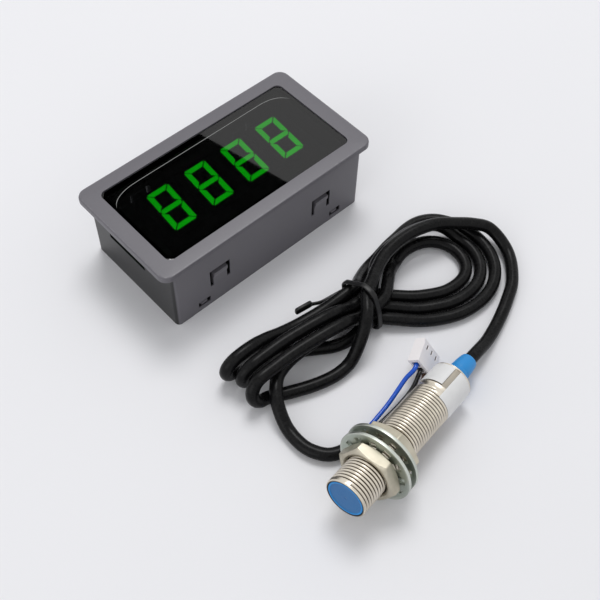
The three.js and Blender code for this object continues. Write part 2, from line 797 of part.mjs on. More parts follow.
// From the tie under the hank's edge to the bench, then the free stretch to the wires.
const tailOverHank = [
  [1, -52.1, 2.4],
  [-3, -52.1, 4.2],
  [-7, -52.1, 6.3],
  [-12, -52.4, 6.4],
  [-17, -52.2, 6.4],
  [-22.5, -52.3, 6.4],
  [-28, -53.8, 6.4],
  [-31.4, -56.6, 6.4],
  [-33.6, -59.6, 5.4],
];
const tailRoute = [
  [-35.8, -73, 2],
  [-34.2, -77, 2],
  [-32.2, -79.3, 2],
  [-29.25, -80.66, 2],
];
const tailEnd = at(-25.5, -81.3, 2);
const tailDirection = at(0.986, -0.168, 0);

// Where the free stretches meet the hank, and the cable's direction there.
const leadJoint = at(55.1, -65.8, 2.3);
const leadJointDirection = at(2.6, 6, 0.6).normalize();
const tailJoint = at(-35.65, -66, 2.3);
const tailJointDirection = at(-0.15, -0.985, -0.08).normalize();

const strandMiddle = strandLow + strandLayer;
const strandHigh = strandLow + 2 * strandLayer;
const upperAcross = [-0.9, 0.1, 1.1].map((share) => share * strandPitch);
const lowerAcross = [0.9, -0.1, -1.1].map((share) => share * strandPitch);
const leadAcross = -0.3 * strandPitch;
const ramp = (value, [from, to]) => smooth((value - from) / (to - from));
const between = (from, to, share) => from + (to - from) * share;

// The way out to a tip: place across and height at a distance from the tie.
function lowerRun(turn, reach) {
  if (turn === 0) {
    const share = reach / tipReach[0];
    const bow = leadBow * Math.sin(Math.PI * Math.min(1, share ** leadBowPowerShare));
    return [between(leadAcross, tipLow[0], share) - bow, between(strandHigh, strandLow, ramp(reach, firstFall))];
  }
  const start = turn === 1 ? lowerAcross[2] : lowerAcross[0];
  return [between(start, tipLow[turn], ramp(reach, turn === 1 ? middleSpread : backSpread)), strandLow];
}

// The way back from a tip, a layer higher at the tie and two layers higher elsewhere.
function upperRun(turn, reach) {
  const across = between(upperAcross[turn], tipHigh[turn], ramp(reach, upperSpread));
  return [across, between(strandMiddle, strandHigh, ramp(reach, upperRise[turn]))];
}

function tipPoint(turn, share) {
  const angle = Math.PI * share;
  const across = between(tipLow[turn], tipHigh[turn], smooth(share));
  return [-tipReach[turn] - strandLayer * Math.sin(angle), across, strandMiddle - strandLayer * Math.cos(angle)];
}

// The inner lobe, a drop shape that starts and ends at the tie.
function innerLobe(share) {
  const fromTie = Math.min(share, 1 - share);
  const along = lobeReach * Math.sin(Math.PI * share) ** lobeBluntShare;
  const swell = Math.sin(2 * Math.PI * share) * ramp(fromTie, lobeEaseShares);
  const start = share < 0.5 ? upperAcross[0] : lowerAcross[0];
  const width = share < 0.5 ? lobeTop : lobeBottom;
  const fading = start * (1 - smooth(fromTie / lobeStartShare));
  return new THREE.Vector2(along, width * swell + fading - lobeTiltShare * along);
}

// The other lobes run outside it, tucked in where they cross over.
function lobePoint(turn, share) {
  const [tuck, from, full, back, end] = lobeTuckShares[turn];
  const strands = turn - turn * tuck * (ramp(share, [from, full]) - ramp(share, [back, end]));
  const along = innerLobe(share + lobeProbeShare).sub(innerLobe(share - lobeProbeShare)).normalize();
  const place = innerLobe(share).add(new THREE.Vector2(-along.y, along.x).multiplyScalar(strands * strandPitch));
  const falling = between(strandMiddle, strandLow, ramp(share, lobeFallShares[turn]));
  return [place.x, place.y, share < 0.5 ? falling : strandLow];
}

// Three turns. Each runs out to a tip, back past the tie and round a lobe to the tie again.
function hankRoute() {
  const points = [[0, leadAcross, strandHigh]];
  for (const turn of turnOrder) {
    const far = tipReach[turn];
    for (const share of turn === 0 ? firstRunShares : lowerRunShares) {
      points.push([-far * share, ...lowerRun(turn, far * share)]);
    }
    for (const share of tipShares) points.push(tipPoint(turn, share));
    for (const share of upperRunShares) points.push([-far * share, ...upperRun(turn, far * share)]);
    points.push([0, upperAcross[turn], strandMiddle]);
    for (const share of lobeShares) points.push(lobePoint(turn, share));
    points.push([0, lowerAcross[turn], strandLow]);
  }
  return points.map(([u, v, z]) => [hankX + u, hankY + v, z]);
}

// The tie lifts the strands that pass through it, so that its band runs under them.
function lifted([x, y, z]) {
  return at(x, y, z + tieLift * (1 - smooth(Math.abs(x - hankX) / tieLiftReach)));
}

const points = (route) => route.map(([x, y, z]) => at(x, y, z));
const leadPoints = [
  cableStart,
  ...points(leadRoute),
  toward(leadJoint, leadJointDirection, -cableDiameter - joinGap),
  toward(leadJoint, leadJointDirection, -joinGap),
];
const hankPoints = [
  toward(leadJoint, leadJointDirection, joinGap),
  toward(leadJoint, leadJointDirection, cableDiameter + joinGap),
  ...[...leadOverHank, ...hankRoute(), ...tailOverHank].map(lifted),
  toward(tailJoint, tailJointDirection, -cableDiameter - joinGap),
  toward(tailJoint, tailJointDirection, -joinGap),
];
const tailPoints = [
  toward(tailJoint, tailJointDirection, joinGap),
  toward(tailJoint, tailJointDirection, cableDiameter + joinGap),
  ...points(tailRoute),
  tailEnd,
];

// A free stretch, bent along a smooth curve through its points.
function freeTube(route, diameter, step) {
  const outline = new THREE.Shape();
  for (let side = 0; side < tubeSides; side++) {
    const angle = side * 2 * Math.PI / tubeSides;
    const corner = [diameter / 2 * Math.cos(angle), diameter / 2 * Math.sin(angle)];
    if (side === 0) outline.moveTo(...corner);
    else outline.lineTo(...corner);
  }
  const curve = new THREE.CatmullRomCurve3(route, false, "centripetal");
  const steps = Math.round(curve.getLength() / step);
  return solid(new THREE.ExtrudeGeometry(outline, { steps, extrudePath: curve, bevelEnabled: false }));
}

// The hank's tube: a ring at each point, turned from one to the next without twisting.
function hankTube(route) {
  const corners = [];
  const faces = [];
  const directionAt = (index) => {
    const next = route[Math.min(index + 1, route.length - 1)];
    return next.clone().sub(route[Math.max(index - 1, 0)]).normalize();
  };
  let along = directionAt(0);
  let side = at(0, 0, 1).cross(along).normalize();
  route.forEach((point, index) => {
    const next = directionAt(index);
    side.applyQuaternion(new THREE.Quaternion().setFromUnitVectors(along, next));
    along = next;
    const other = along.clone().cross(side);
    for (let corner = 0; corner < hankSides; corner++) {
      const angle = corner * 2 * Math.PI / hankSides;
      const arm = side.clone().multiplyScalar(Math.cos(angle)).addScaledVector(other, Math.sin(angle));
      corners.push(...point.clone().addScaledVector(arm, cableDiameter / 2).toArray());
      if (index === 0) continue;
      const after = (corner + 1) % hankSides;
      const here = index * hankSides;
      const before = here - hankSides;
      faces.push(before + corner, before + after, here + after, before + corner, here + after, here + corner);
    }
  });
  const last = (route.length - 1) * hankSides;
  for (let corner = 1; corner < hankSides - 1; corner++) {
    faces.push(0, corner + 1, corner, last, last + corner, last + corner + 1);
  }
  const geometry = new THREE.BufferGeometry();
  geometry.setAttribute("position", new THREE.Float32BufferAttribute(corners, 3));
  geometry.setIndex(faces);
  return solid(geometry);
}

// Points on the whole cable's straight pieces, and the least gap between parts of it that pass.
function cableGap() {
  const route = [...leadPoints, ...hankPoints, ...tailPoints];
  const samples = [];
  let length = 0;
  for (let index = 1; index < route.length; index++) {
    const span = route[index].distanceTo(route[index - 1]);
    const parts = Math.ceil(span / gapSample);
    for (let part = 0; part < parts; part++) {
      const place = route[index - 1].clone().lerp(route[index], part / parts);
      samples.push({ place, travelled: length + span * part / parts });
    }
    length += span;
  }
  let least = Infinity;
  samples.forEach((one, index) => {
    for (const other of samples.slice(index + 1)) {
      if (other.travelled - one.travelled < gapNeighbourhood) continue;
      least = Math.min(least, one.place.distanceTo(other.place) - cableDiameter);
    }
  });
  const lowest = Math.min(...samples.map(({ place }) => place.z)) - cableDiameter / 2;
  return { least, length, lowest };
}

addPiece("cable_lead", "cableBlack", freeTube(leadPoints, cableDiameter, cableStep));
addPiece("cable_hank", "cableBlack", hankTube(hankPoints));
addPiece("cable_tail", "cableBlack", freeTube(tailPoints, cableDiameter, cableStep));
const measured = cableGap();
console.log(`cable length ${measured.length.toFixed(1)}, least gap ${measured.least.toFixed(2)}`);
console.log(`steps in a loop ${(hankRoute().length - 1) / turnOrder.length}, lowest ${measured.lowest.toFixed(2)}`);

// The outline of a band drawn tight round strands in the tie's plane, as Y and Z.
function bandOutline(strands, radius) {
  const outline = new THREE.Shape();
  const away = ([y0, z0], [y1, z1]) => Math.atan2(z1 - z0, y1 - y0) - Math.PI / 2;
  strands.forEach((strand, index) => {
    const before = strands.at(index - 1);
    const after = strands[(index + 1) % strands.length];
    outline.absarc(...strand, radius, away(before, strand), away(strand, after));
  });
  return outline;
}

function cableTie() {
  const strands = [
    [lowerAcross[2], strandLow],
    [lowerAcross[0], strandLow],
    [upperAcross[2], strandMiddle],
    [leadAcross + tieLeadSlant, strandHigh],
    [leadAcross - tieLeadSlant, strandHigh],
    [upperAcross[0], strandMiddle],
  ].map(([v, z]) => [hankY + v, z + tieLift]);
  const inside = cableDiameter / 2 + tieGap;
  const outline = bandOutline(strands, inside + tieThickness);
  outline.holes.push(bandOutline(strands, inside));
  const band = alongX(outline, hankX - tieWidth / 2, hankX + tieWidth / 2);
  const strip = new THREE.BoxGeometry(tieTailLength, tieTailThickness, tieTailWidth);
  strip.translate(-tieTailLength / 2, 0, 0);
  const tab = new THREE.BoxGeometry(tieTabLength, tieTabThickness, tieTabHeight).translate(-tieTailLength, 0, 0);
  const place = new THREE.Matrix4().makeTranslation(hankX, hankY + tieTailIn, tieTailHeight);
  place.multiply(new THREE.Matrix4().makeRotationZ(-radians(tieTailTurn)));
  return band.add(solid(strip.applyMatrix4(place))).add(solid(tab.applyMatrix4(place)));
}

addPiece("cable_tie", "tieBlack", cableTie());

// PLUG, along its own +X from the wires to its mating end, its three ways along its Y

const plug = new THREE.Group();
root.add(plug);
const lean = radians(plugLean);
const plugAxis = at(Math.cos(radians(plugHeading)), Math.sin(radians(plugHeading)), 0);
const plugRow = at(-plugAxis.y * Math.cos(lean), plugAxis.x * Math.cos(lean), Math.sin(lean));
const plugOut = plugAxis.clone().cross(plugRow);
const plugHeight = plugFloorGap + (Math.abs(plugRow.z) * plugWidth + Math.abs(plugOut.z) * plugDepth) / 2;
plug.applyMatrix4(new THREE.Matrix4().makeBasis(plugAxis, plugRow, plugOut));
plug.position.set(plugX, plugY, plugHeight);
plug.updateMatrixWorld(true);

function plugHousing() {
  const [x, y, z] = [plugLength / 2, plugWidth / 2, plugDepth / 2];
  let made = box(-x, -y, -z, x, y, z);
  made = made.subtract(box(x - plugStep, -y - overrun, z - plugStepDepth, x + overrun, y + overrun, z + overrun));
  const half = plugChannel / 2;
  for (let way = -1; way <= 1; way++) {
    const middle = way * plugPitch;
    made = made.subtract(box(-x - overrun, middle - half, -half, x + overrun, middle + half, half));
    const slot = [plugSlotPlace - plugSlotLength / 2, plugSlotPlace + plugSlotLength / 2];
    const [low, high] = [middle - plugSlotWidth / 2, middle + plugSlotWidth / 2];
    made = made.subtract(box(slot[0], low, z - plugSlotDepth, slot[1], high, z + overrun));
  }
  return made;
}

function crimpTerminal() {
  const front = plugLength / 2 - terminalInset;
  const half = terminalSize / 2;
  const bore = terminalBore / 2;
  const shell = box(front - terminalLength, -half, -half, front, half, half);
  return shell.subtract(box(front - terminalLength + terminalBack, -bore, -bore, front + overrun, bore, bore));
}

// Each wire's route on the bench between the cable's end and the plug.
const wires = [
  { color: "Brown", way: -1, across: -0.866, up: 0.5, route: [[-20.5, -82.5, 1.5], [-14.5, -82.9, 1.5], [-8, -82.6, 1.1], [-1.5, -81.5, 1.1]] },
  { color: "Black", way: 0, across: 0, up: -1, route: [[-20, -81.1, 1], [-14, -81.2, 1], [-7.2, -80.8, 1.4], [-1.4, -79.9, 2.3]] },
  { color: "Blue", way: 1, across: 0.866, up: 0.5, route: [[-20, -80.6, 2.6], [-15.4, -80, 2.9], [-10.8, -79.3, 3.3], [-6.5, -78.4, 4.1], [-2, -77.5, 5.3]] },
];

addPiece("connector_housing", "plugWhite", plugHousing(), plug);
const acrossTail = at(-tailDirection.y, tailDirection.x, 0);
for (const { color, way, across, up, route } of wires) {
  const spread = at(0, 0, up * wireSpread).addScaledVector(acrossTail, across * wireSpread);
  const start = toward(tailEnd, tailDirection, pieceGap).add(spread);
  const inPlug = -plugLength / 2 + wireInset;
  const end = plug.localToWorld(at(inPlug, way * plugPitch, 0));
  const entry = plug.localToWorld(at(inPlug - 2 * wireInset, way * plugPitch, 0));
  const whole = [start, toward(start, tailDirection, wireDiameter), ...points(route), entry, end];
  addPiece("wire_" + color.toLowerCase(), "wire" + color, freeTube(whole, wireDiameter, wireStep));
  addPiece("crimp_terminal_" + (way + 2), "tinned", crimpTerminal(), plug).position.y = way * plugPitch;
}

export default root;
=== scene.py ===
from math import atan2, ceil, cos, pi, radians, sin, sqrt, tan

import bmesh
import bpy
from mathutils import Matrix, Vector


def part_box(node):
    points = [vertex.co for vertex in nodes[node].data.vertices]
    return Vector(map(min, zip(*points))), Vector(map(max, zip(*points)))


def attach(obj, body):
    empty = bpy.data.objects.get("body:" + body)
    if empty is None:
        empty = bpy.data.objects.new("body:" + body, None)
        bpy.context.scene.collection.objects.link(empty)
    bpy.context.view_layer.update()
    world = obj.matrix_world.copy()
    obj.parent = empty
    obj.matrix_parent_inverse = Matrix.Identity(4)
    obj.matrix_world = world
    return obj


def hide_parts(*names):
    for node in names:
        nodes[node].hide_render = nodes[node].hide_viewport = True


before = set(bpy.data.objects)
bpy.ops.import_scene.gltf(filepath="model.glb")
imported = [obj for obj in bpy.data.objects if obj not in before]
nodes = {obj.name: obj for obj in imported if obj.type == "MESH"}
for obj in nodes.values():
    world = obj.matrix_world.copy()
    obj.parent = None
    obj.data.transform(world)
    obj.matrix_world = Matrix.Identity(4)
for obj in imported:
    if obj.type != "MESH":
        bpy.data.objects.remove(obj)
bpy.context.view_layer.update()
scene = bpy.context.scene
mm = 0.001
print("frame loaded")

cameraView = {
    "place": (-119.91, -156.01, 241.07),
    "forward": (0.39665, 0.40899, -0.82183),
    "right": (0.7374, -0.67517, 0.0199),
    "lens": 59.3,
    "sensor": 36,
    "clip": (0.01, 20),
}


def linked(name, data):
    piece = bpy.data.objects.new(name, data)
    scene.collection.objects.link(piece)
    return piece


def makeCamera(view):
    data = bpy.data.cameras.new("photoCamera")
    data.lens = view["lens"]
    data.sensor_width = view["sensor"]
    data.clip_start, data.clip_end = view["clip"]
    back = -Vector(view["forward"]).normalized()
    right = Vector(view["right"])
    right = (right - back * right.dot(back)).normalized()
    turn = Matrix((right, back.cross(right), back)).transposed().to_4x4()
    camera = linked("photoCamera", data)
    camera.matrix_world = Matrix.Translation(Vector(view["place"]) * mm) @ turn
    scene.camera = camera


makeCamera(cameraView)

# General shapes

# Points nearer than this are one point, in metres: in a piece made here, and in a CAD node.
mergeReach, nodeMergeReach = 1e-7, 2e-6
flatAngle = 0.8  # degrees between a node's triangles that are one flat face


def smooth(share):
    share = min(1, max(0, share))
    return share * share * (3 - 2 * share)


def ramp(value, ends):
    return smooth((value - ends[0]) / (ends[1] - ends[0]))


def between(start, end, share):
    return start + (end - start) * share


# A point at a radius and an angle about the axis.
def around(radius, angle, along=0):
    return radius * cos(angle), radius * sin(angle), along


# A mesh from points in millimetres, its faces turned outwards and shaded smooth.
def meshPiece(name, points, faces, place=None):
    made = bmesh.new()
    corners = [made.verts.new(Vector(point) * mm) for point in points]
    for face in faces:
        if len(set(face)) > 2:
            made.faces.new([corners[index] for index in face])
    bmesh.ops.remove_doubles(made, verts=made.verts, dist=mergeReach)
    bmesh.ops.recalc_face_normals(made, faces=made.faces)
    return meshFrom(name, made, place)


def meshFrom(name, made, place=None):
    if place is not None:
        made.transform(place)
    mesh = bpy.data.meshes.new(name)
    made.to_mesh(mesh)
    made.free()
    mesh.polygons.foreach_set("use_smooth", [True] * len(mesh.polygons))
    return linked(name, mesh)


# Small rounded edges, with the flat faces kept flat in shade.
def roundEdges(piece, width, segments=2, angle=30):
    if width > 0:
        bevel = piece.modifiers.new("edges", "BEVEL")
        bevel.width = width * mm
        bevel.segments = segments
        bevel.limit_method = "ANGLE"
        bevel.angle_limit = radians(angle)
        bevel.miter_outer = "MITER_ARC"
    shade = piece.modifiers.new("shade", "WEIGHTED_NORMAL")
    shade.keep_sharp = True
    return piece


# A CAD node's own shape as a new piece with rounded edges. Its flat faces are made whole, and the long
# ones are split again, because rounding can leave a long face open.
def softened(node, width, segments=2, angle=30):
    first, *rest = node.split("_")
    made = bmesh.new()
    made.from_mesh(nodes[node].data)
    bmesh.ops.remove_doubles(made, verts=made.verts, dist=nodeMergeReach)
    bmesh.ops.dissolve_limit(
        made, angle_limit=radians(flatAngle), use_dissolve_boundaries=False,
        verts=made.verts, edges=made.edges, delimit={"MATERIAL"},
    )
    bmesh.ops.triangulate(made, faces=[face for face in made.faces if len(face.verts) > 4])
    piece = meshFrom(first + "".join(word.capitalize() for word in rest), made)
    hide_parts(node)
    return roundEdges(piece, width, segments, angle)


def dressed(piece, material, body="tachometer", stands=()):
    piece.data.materials.append(material)
    if stands:
        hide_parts(*stands)
    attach(piece, body)
    return piece


# Faces between rings of points, each joined to the next, and in a loop the last to the first.
def ringFaces(rings, size, loop=False):
    faces = []
    for ring in range(rings if loop else rings - 1):
        low, high = ring * size, (ring + 1) % rings * size
        for corner in range(size):
            after = (corner + 1) % size
            faces.append((low + corner, low + after, high + after, high + corner))
    return faces


# A closed profile of radius and place along the axis, turned about it.
def turnedPiece(name, profile, sides, place):
    points = [around(radius, 2 * pi * side / sides, along) for radius, along in profile for side in range(sides)]
    return meshPiece(name, points, ringFaces(len(profile), sides, True), place)


# A section drawn in two directions, carried along a path of places with these directions.
def sweptPiece(name, path, section, closed=False, place=None):
    points = [middle + across * u + up * v for middle, across, up in path for u, v in section]
    size, last = len(section), (len(path) - 1) * len(section)
    faces = ringFaces(len(path), size, closed)
    if not closed:
        faces += [tuple(range(size)), tuple(range(last, last + size))]
    return meshPiece(name, points, faces, place)


def roundedSection(width, height, corner, parts=4):
    section = []
    for quarter, (sideX, sideY) in enumerate([(1, 1), (-1, 1), (-1, -1), (1, -1)]):
        for part in range(parts + 1):
            angle = (quarter + part / parts) * pi / 2
            x = sideX * (width / 2 - corner) + corner * cos(angle)
            section.append((x, sideY * (height / 2 - corner) + corner * sin(angle)))
    return section


# A smooth line through points, in steps of about one length.
def smoothLine(points, step):
    points = [Vector(point) for point in points]
    ends = [points[0] * 2 - points[1], *points, points[-1] * 2 - points[-2]]
    line = []
    for before, start, end, after in zip(ends, ends[1:], ends[2:], ends[3:]):
        gaps = [sqrt((b - a).length) for a, b in ((before, start), (start, end), (end, after))]
        outOf = (start - before) / gaps[0] - (end - before) / (gaps[0] + gaps[1]) + (end - start) / gaps[1]
        into = (end - start) / gaps[1] - (after - start) / (gaps[1] + gaps[2]) + (after - end) / gaps[2]
        outOf, into = outOf * gaps[1], into * gaps[1]
        parts = max(1, ceil((end - start).length / step))
        for part in range(parts):
            t = part / parts
            square, cube = t * t, t * t * t
            place = start * (2 * cube - 3 * square + 1) + end * (3 * square - 2 * cube)
            line.append(place + outOf * (cube - 2 * square + t) + into * (cube - square))
    line.append(points[-1])
    return line


def lengthOf(line):
    return sum((b - a).length for a, b in zip(line, line[1:]))


# A round cord as a curve of one open spline.
def cordCurve(name, line, diameter, roundness):
    curve = bpy.data.curves.new(name, "CURVE")
    curve.dimensions = "3D"
    curve.bevel_depth = diameter / 2 * mm
    curve.bevel_resolution = roundness
    curve.use_fill_caps = True
    spline = curve.splines.new("POLY")
    spline.points.add(len(line) - 1)
    for point, place in zip(spline.points, line):
        point.co = (*(place * mm), 1)
    spline.use_smooth = True
    return linked(name, curve)


# Effects shared by the materials. A noise is given by its detail and roughness.

effects = {
    "mottleNoise": (3.0, 0.6),
    "mottleEnds": (0.35, 0.65),
    "wearSize": 900.0,
    "wearNoise": (3.0, 0.5),
    "wearEnds": (0.4, 0.65, 0.1, 1),
    "wearLean": (0.998, 0.98),  # cosine between the shading and the flat face
    "dustSize": 700.0,
    "dustNoise": (5.0, 0.7),
    "dustEnds": (0.45, 0.75),
    "dustFacing": (0.3, 1),
    "scratchNoise": (6.0, 0.65),
    "roughEnds": (0.3, 0.7),
}


# Links or plain values for a node's inputs.
def fed(tree, node, inputs):
    for key, value in inputs.items():
        if isinstance(value, bpy.types.NodeSocket):
            tree.links.new(value, node.inputs[key])
        else:
            node.inputs[key].default_value = value
    return node


def addNode(tree, kind, inputs=None, **settings):
    node = tree.nodes.new("ShaderNode" + kind)
    for key, value in settings.items():
        setattr(node, key, value)
    return fed(tree, node, inputs or {})


def maths(tree, operation, *values):
    return addNode(tree, "Math", dict(enumerate(values)), operation=operation).outputs[0]


def vectorMaths(tree, operation, *values, output=0):
    return addNode(tree, "VectorMath", dict(enumerate(values)), operation=operation).outputs[output]


def mixColor(tree, share, first, second):
    return addNode(tree, "Mix", {0: share, 6: first, 7: second}, data_type="RGBA").outputs[2]


def rescaled(tree, value, fromLow, fromHigh, toLow=0, toHigh=1):
    ends = {"Value": value, "From Min": fromLow, "From Max": fromHigh, "To Min": toLow, "To Max": toHigh}
    return addNode(tree, "MapRange", ends).outputs[0]


def spotOf(tree):
    return addNode(tree, "TexCoord").outputs["Object"]


def noiseOf(tree, spot, size, detail, roughness=0.5):
    values = {"Vector": spot, "Scale": size, "Detail": detail, "Roughness": roughness}
    return addNode(tree, "TexNoise", values).outputs["Fac"]


# A group with one output, which the function makes from the group's inputs.
def newGroup(name, inputs, label, kind, make):
    group = bpy.data.node_groups.new(name, "ShaderNodeTree")
    for given, givenKind, value in inputs:
        socket = group.interface.new_socket(given, in_out="INPUT", socket_type="NodeSocket" + givenKind)
        socket.default_value = value
    group.interface.new_socket(label, in_out="OUTPUT", socket_type="NodeSocket" + kind)
    made = make(group, group.nodes.new("NodeGroupInput").outputs)
    group.links.new(made, group.nodes.new("NodeGroupOutput").inputs[label])
    return group


def grouped(tree, group, values, output):
    return addNode(tree, "Group", values, node_tree=group).outputs[output]


# Fine unevenness of a moulded, rolled or printed skin. Size is how many grains to the metre.
def grainHeight(tree, given):
    return noiseOf(tree, spotOf(tree), given["Size"], given["Detail"])


# Two shades of one colour, in soft patches.
def mottleColor(tree, given):
    noise = noiseOf(tree, spotOf(tree), given["Size"], *effects["mottleNoise"])
    return mixColor(tree, rescaled(tree, noise, *effects["mottleEnds"]), given["Color"], given["Second"])


# Rubbed edges: a broken mask where the shading turns, on the rounded edges.
def wearMask(tree, given):
    geometry = addNode(tree, "NewGeometry").outputs
    lean = vectorMaths(tree, "DOT_PRODUCT", geometry["Normal"], geometry["True Normal"], output="Value")
    noise = noiseOf(tree, spotOf(tree), effects["wearSize"], *effects["wearNoise"])
    broken = rescaled(tree, noise, *effects["wearEnds"])
    both = maths(tree, "MULTIPLY", rescaled(tree, lean, *effects["wearLean"]), broken)
    return maths(tree, "MULTIPLY", both, given["Amount"])


# A thin veil of dust on what faces up.
def dustMask(tree, given):
    up = addNode(tree, "SeparateXYZ", {0: addNode(tree, "NewGeometry").outputs["Normal"]}).outputs["Z"]
    noise = noiseOf(tree, spotOf(tree), effects["dustSize"], *effects["dustNoise"])
    specks = rescaled(tree, noise, *effects["dustEnds"])
    both = maths(tree, "MULTIPLY", rescaled(tree, up, *effects["dustFacing"]), specks)
    return maths(tree, "MULTIPLY", both, given["Amount"])


# Fine scratches that run round or along a turned metal piece.
def scratchHeight(tree, given):
    turning = {"Vector": spotOf(tree), "Rotation": given["Turn"]}
    turned = addNode(tree, "VectorRotate", turning, rotation_type="EULER_XYZ").outputs[0]
    stretched = vectorMaths(tree, "MULTIPLY", turned, given["Stretch"])
    return noiseOf(tree, stretched, given["Size"], *effects["scratchNoise"])


amount, size = ("Amount", "Float", 0.1), ("Size", "Float", 800.0)
grainGroup = newGroup("skinGrain", [size, ("Detail", "Float", 3.0)], "Height", "Float", grainHeight)
tones = [("Color", "Color", (1, 1, 1, 1)), ("Second", "Color", (1, 1, 1, 1)), size]
mottleGroup = newGroup("softMottle", tones, "Color", "Color", mottleColor)
wearGroup = newGroup("edgeWear", [amount], "Mask", "Float", wearMask)
dustGroup = newGroup("settledDust", [amount], "Mask", "Float", dustMask)
marking = [("Turn", "Vector", (0, 0, 0)), ("Stretch", "Vector", (1, 1, 1)), size]
scratchGroup = newGroup("turningMarks", marking, "Height", "Float", scratchHeight)


# A colour written as in a picture editor, from 0 to 255.
def shade(*levels):
    shares = [level / 255 for level in levels]
    return (*[((share + 0.055) / 1.055) ** 2.4 if share > 0.04045 else share / 12.92 for share in shares], 1)


# What a material has unless its look says otherwise.
plainLook = {
    "patch": 60.0, "detail": 3.0, "bump": 0.3, "relief": 0.03, "metal": 0.0, "specular": 0.5,
    "coat": 0.0, "coatRough": 0.1, "dustColor": (190, 188, 186),
}


def newMaterial(name):
    material = bpy.data.materials.new(name)
    material.use_nodes = True
    return material, material.node_tree, material.node_tree.nodes["Principled BSDF"]


# A material of one look: mottled colour, grain, wear at the edges, dust and scratches as given.
def finishOf(name, given):
    look = {**plainLook, **given}
    material, tree, shader = newMaterial(name)
    tones = {"Color": shade(*look["color"]), "Second": shade(*look["second"]), "Size": look["patch"]}
    color = grouped(tree, mottleGroup, tones, "Color")
    if "wear" in look:
        wear = grouped(tree, wearGroup, {"Amount": look["wear"]}, "Mask")
        color = mixColor(tree, wear, color, shade(*look["worn"]))
    if "dust" in look:
        dust = grouped(tree, dustGroup, {"Amount": look["dust"]}, "Mask")
        color = mixColor(tree, dust, color, shade(*look["dustColor"]))
    height = grouped(tree, grainGroup, {"Size": look["grain"], "Detail": look["detail"]}, "Height")
    if "marks" in look:
        marking = {"Turn": look["markTurn"], "Stretch": look["marks"], "Size": look["markSize"]}
        height = maths(tree, "ADD", height, grouped(tree, scratchGroup, marking, "Height"))
    bump = {"Height": height, "Strength": look["bump"], "Distance": look["relief"] * mm}
    fed(tree, shader, {
        "Base Color": color,
        "Roughness": rescaled(tree, height, *effects["roughEnds"], *look["rough"]),
        "Normal": addNode(tree, "Bump", bump).outputs["Normal"],
        "Metallic": look["metal"],
        "Specular IOR Level": look["specular"],
        "Coat Weight": look["coat"],
        "Coat Roughness": look["coatRough"],
    })
    return material


# A second colour where the mask is full.
def recolored(material, mask, color):
    tree = material.node_tree
    base = tree.nodes["Principled BSDF"].inputs["Base Color"]
    tree.links.new(mixColor(tree, mask, base.links[0].from_socket, shade(*color)), base)


print("helpers and shared effects ready")

# Cable. It leaves the sensor, lies over and in the hank, and ends beside the plug.

benchGap = 0.1  # under what lies on the bench by its own shape
cable = {
    "diameter": 3.8,
    "step": 0.9,  # between points along it
    "roundness": 6,
    "inExit": 1.5,
    "outOfExit": 0.3,
    "floorGap": 0.02,
    "color": (9, 9, 10), "second": (14, 14, 15), "patch": 90.0, "grain": 1400.0, "rough": (0.24, 0.34),
    "specular": 0.11, "bump": 0.12, "relief": 0.04, "dust": 0.02,
}
sensorPlace = {"heading": 8.59, "dip": 7.65, "face": (-41.83, -93.9), "washerRadius": 10.8, "washerEnd": 16.4}
leadRoute = [(19.2, -84.7, 4.6), (25.5, -83.5, 2.7), (33, -81.2, 2), (41, -77.9, 2), (48, -74, 2)]
leadOverHank = [
    (55.4, -57.6, 5.4), (51.8, -53.8, 6.9), (47, -50.8, 8.4), (41.2, -48, 10.3), (35, -46, 10.8),
    (28, -45.2, 10.8), (21, -46, 10.8), (15, -48.4, 10.8), (10.2, -51, 10.8),
]
tailOverHank = [
    (1, -52.1, 2.4), (-3, -52.1, 4.2), (-7, -52.1, 6.3), (-12, -52.4, 6.4), (-17, -52.2, 6.4),
    (-22.5, -52.3, 6.4), (-28, -53.8, 6.4), (-31.4, -56.6, 6.4), (-33.6, -59.6, 5.4),
]
tailRoute = [(-35.8, -73, 2), (-34.2, -77, 2), (-32.2, -79.3, 2), (-29.25, -80.66, 2)]
leadJoint, tailJoint = Vector((55.1, -65.8, 2.3)), Vector((-35.65, -66, 2.3))
tailEnd, tailDirection = Vector((-25.5, -81.3, 2)), Vector((0.986, -0.168, 0)).normalized()

# Hank: three loops that all pass through the tie. Shares are of the pitch, from the tie's middle.
hank = {
    "middle": (6, -52),
    "pitch": 4.4,
    "low": 2,
    "layer": 4.4,
    "upperShares": (-0.9, 0.1, 1.1),
    "lowerShares": (0.9, -0.1, -1.1),
    "leadShare": -0.3,
    "tieLift": 1.5, "tieLiftReach": 14,
    "turnOrder": (0, 2, 1),
    "runPoints": 8, "tipPoints": 6, "lobePoints": 24,
    "tipReach": (39.3, 37.8, 39.7), "tipLow": (-3.2, 4.4, 9), "tipHigh": (-1.1, 3.5, 8),
    "leadBow": 8.6, "leadBowPower": 0.8,
    "firstFall": (4, 17),
    "middleSpread": (9, 29), "backSpread": (0, 20), "upperSpread": (0, 32),
    "upperRise": ((2.5, 13), (2.5, 13), (20, 37)),
    "lobeReach": 37.5, "lobeTop": 9.3, "lobeBottom": 9.8,
    "lobeBlunt": 0.92, "lobeEase": (-0.005, 0.115), "lobeStart": 0.222, "lobeTilt": 0.08,
    "lobeFall": ((0.095, 0.155), (0.35, 0.48), (0.045, 0.135)),
    "lobeTuck": ((0, 0, 1, 0, 1), (0.5, 0.12, 0.22, 0.3, 0.44), (0.44, 0.06, 0.2, 0.22, 0.38)),
    "lobeNudge": 0.004,  # share of the lobe over which its direction is read
}
strandMiddle = hank["low"] + hank["layer"]
strandHigh = hank["low"] + 2 * hank["layer"]
upperAcross = [share * hank["pitch"] for share in hank["upperShares"]]
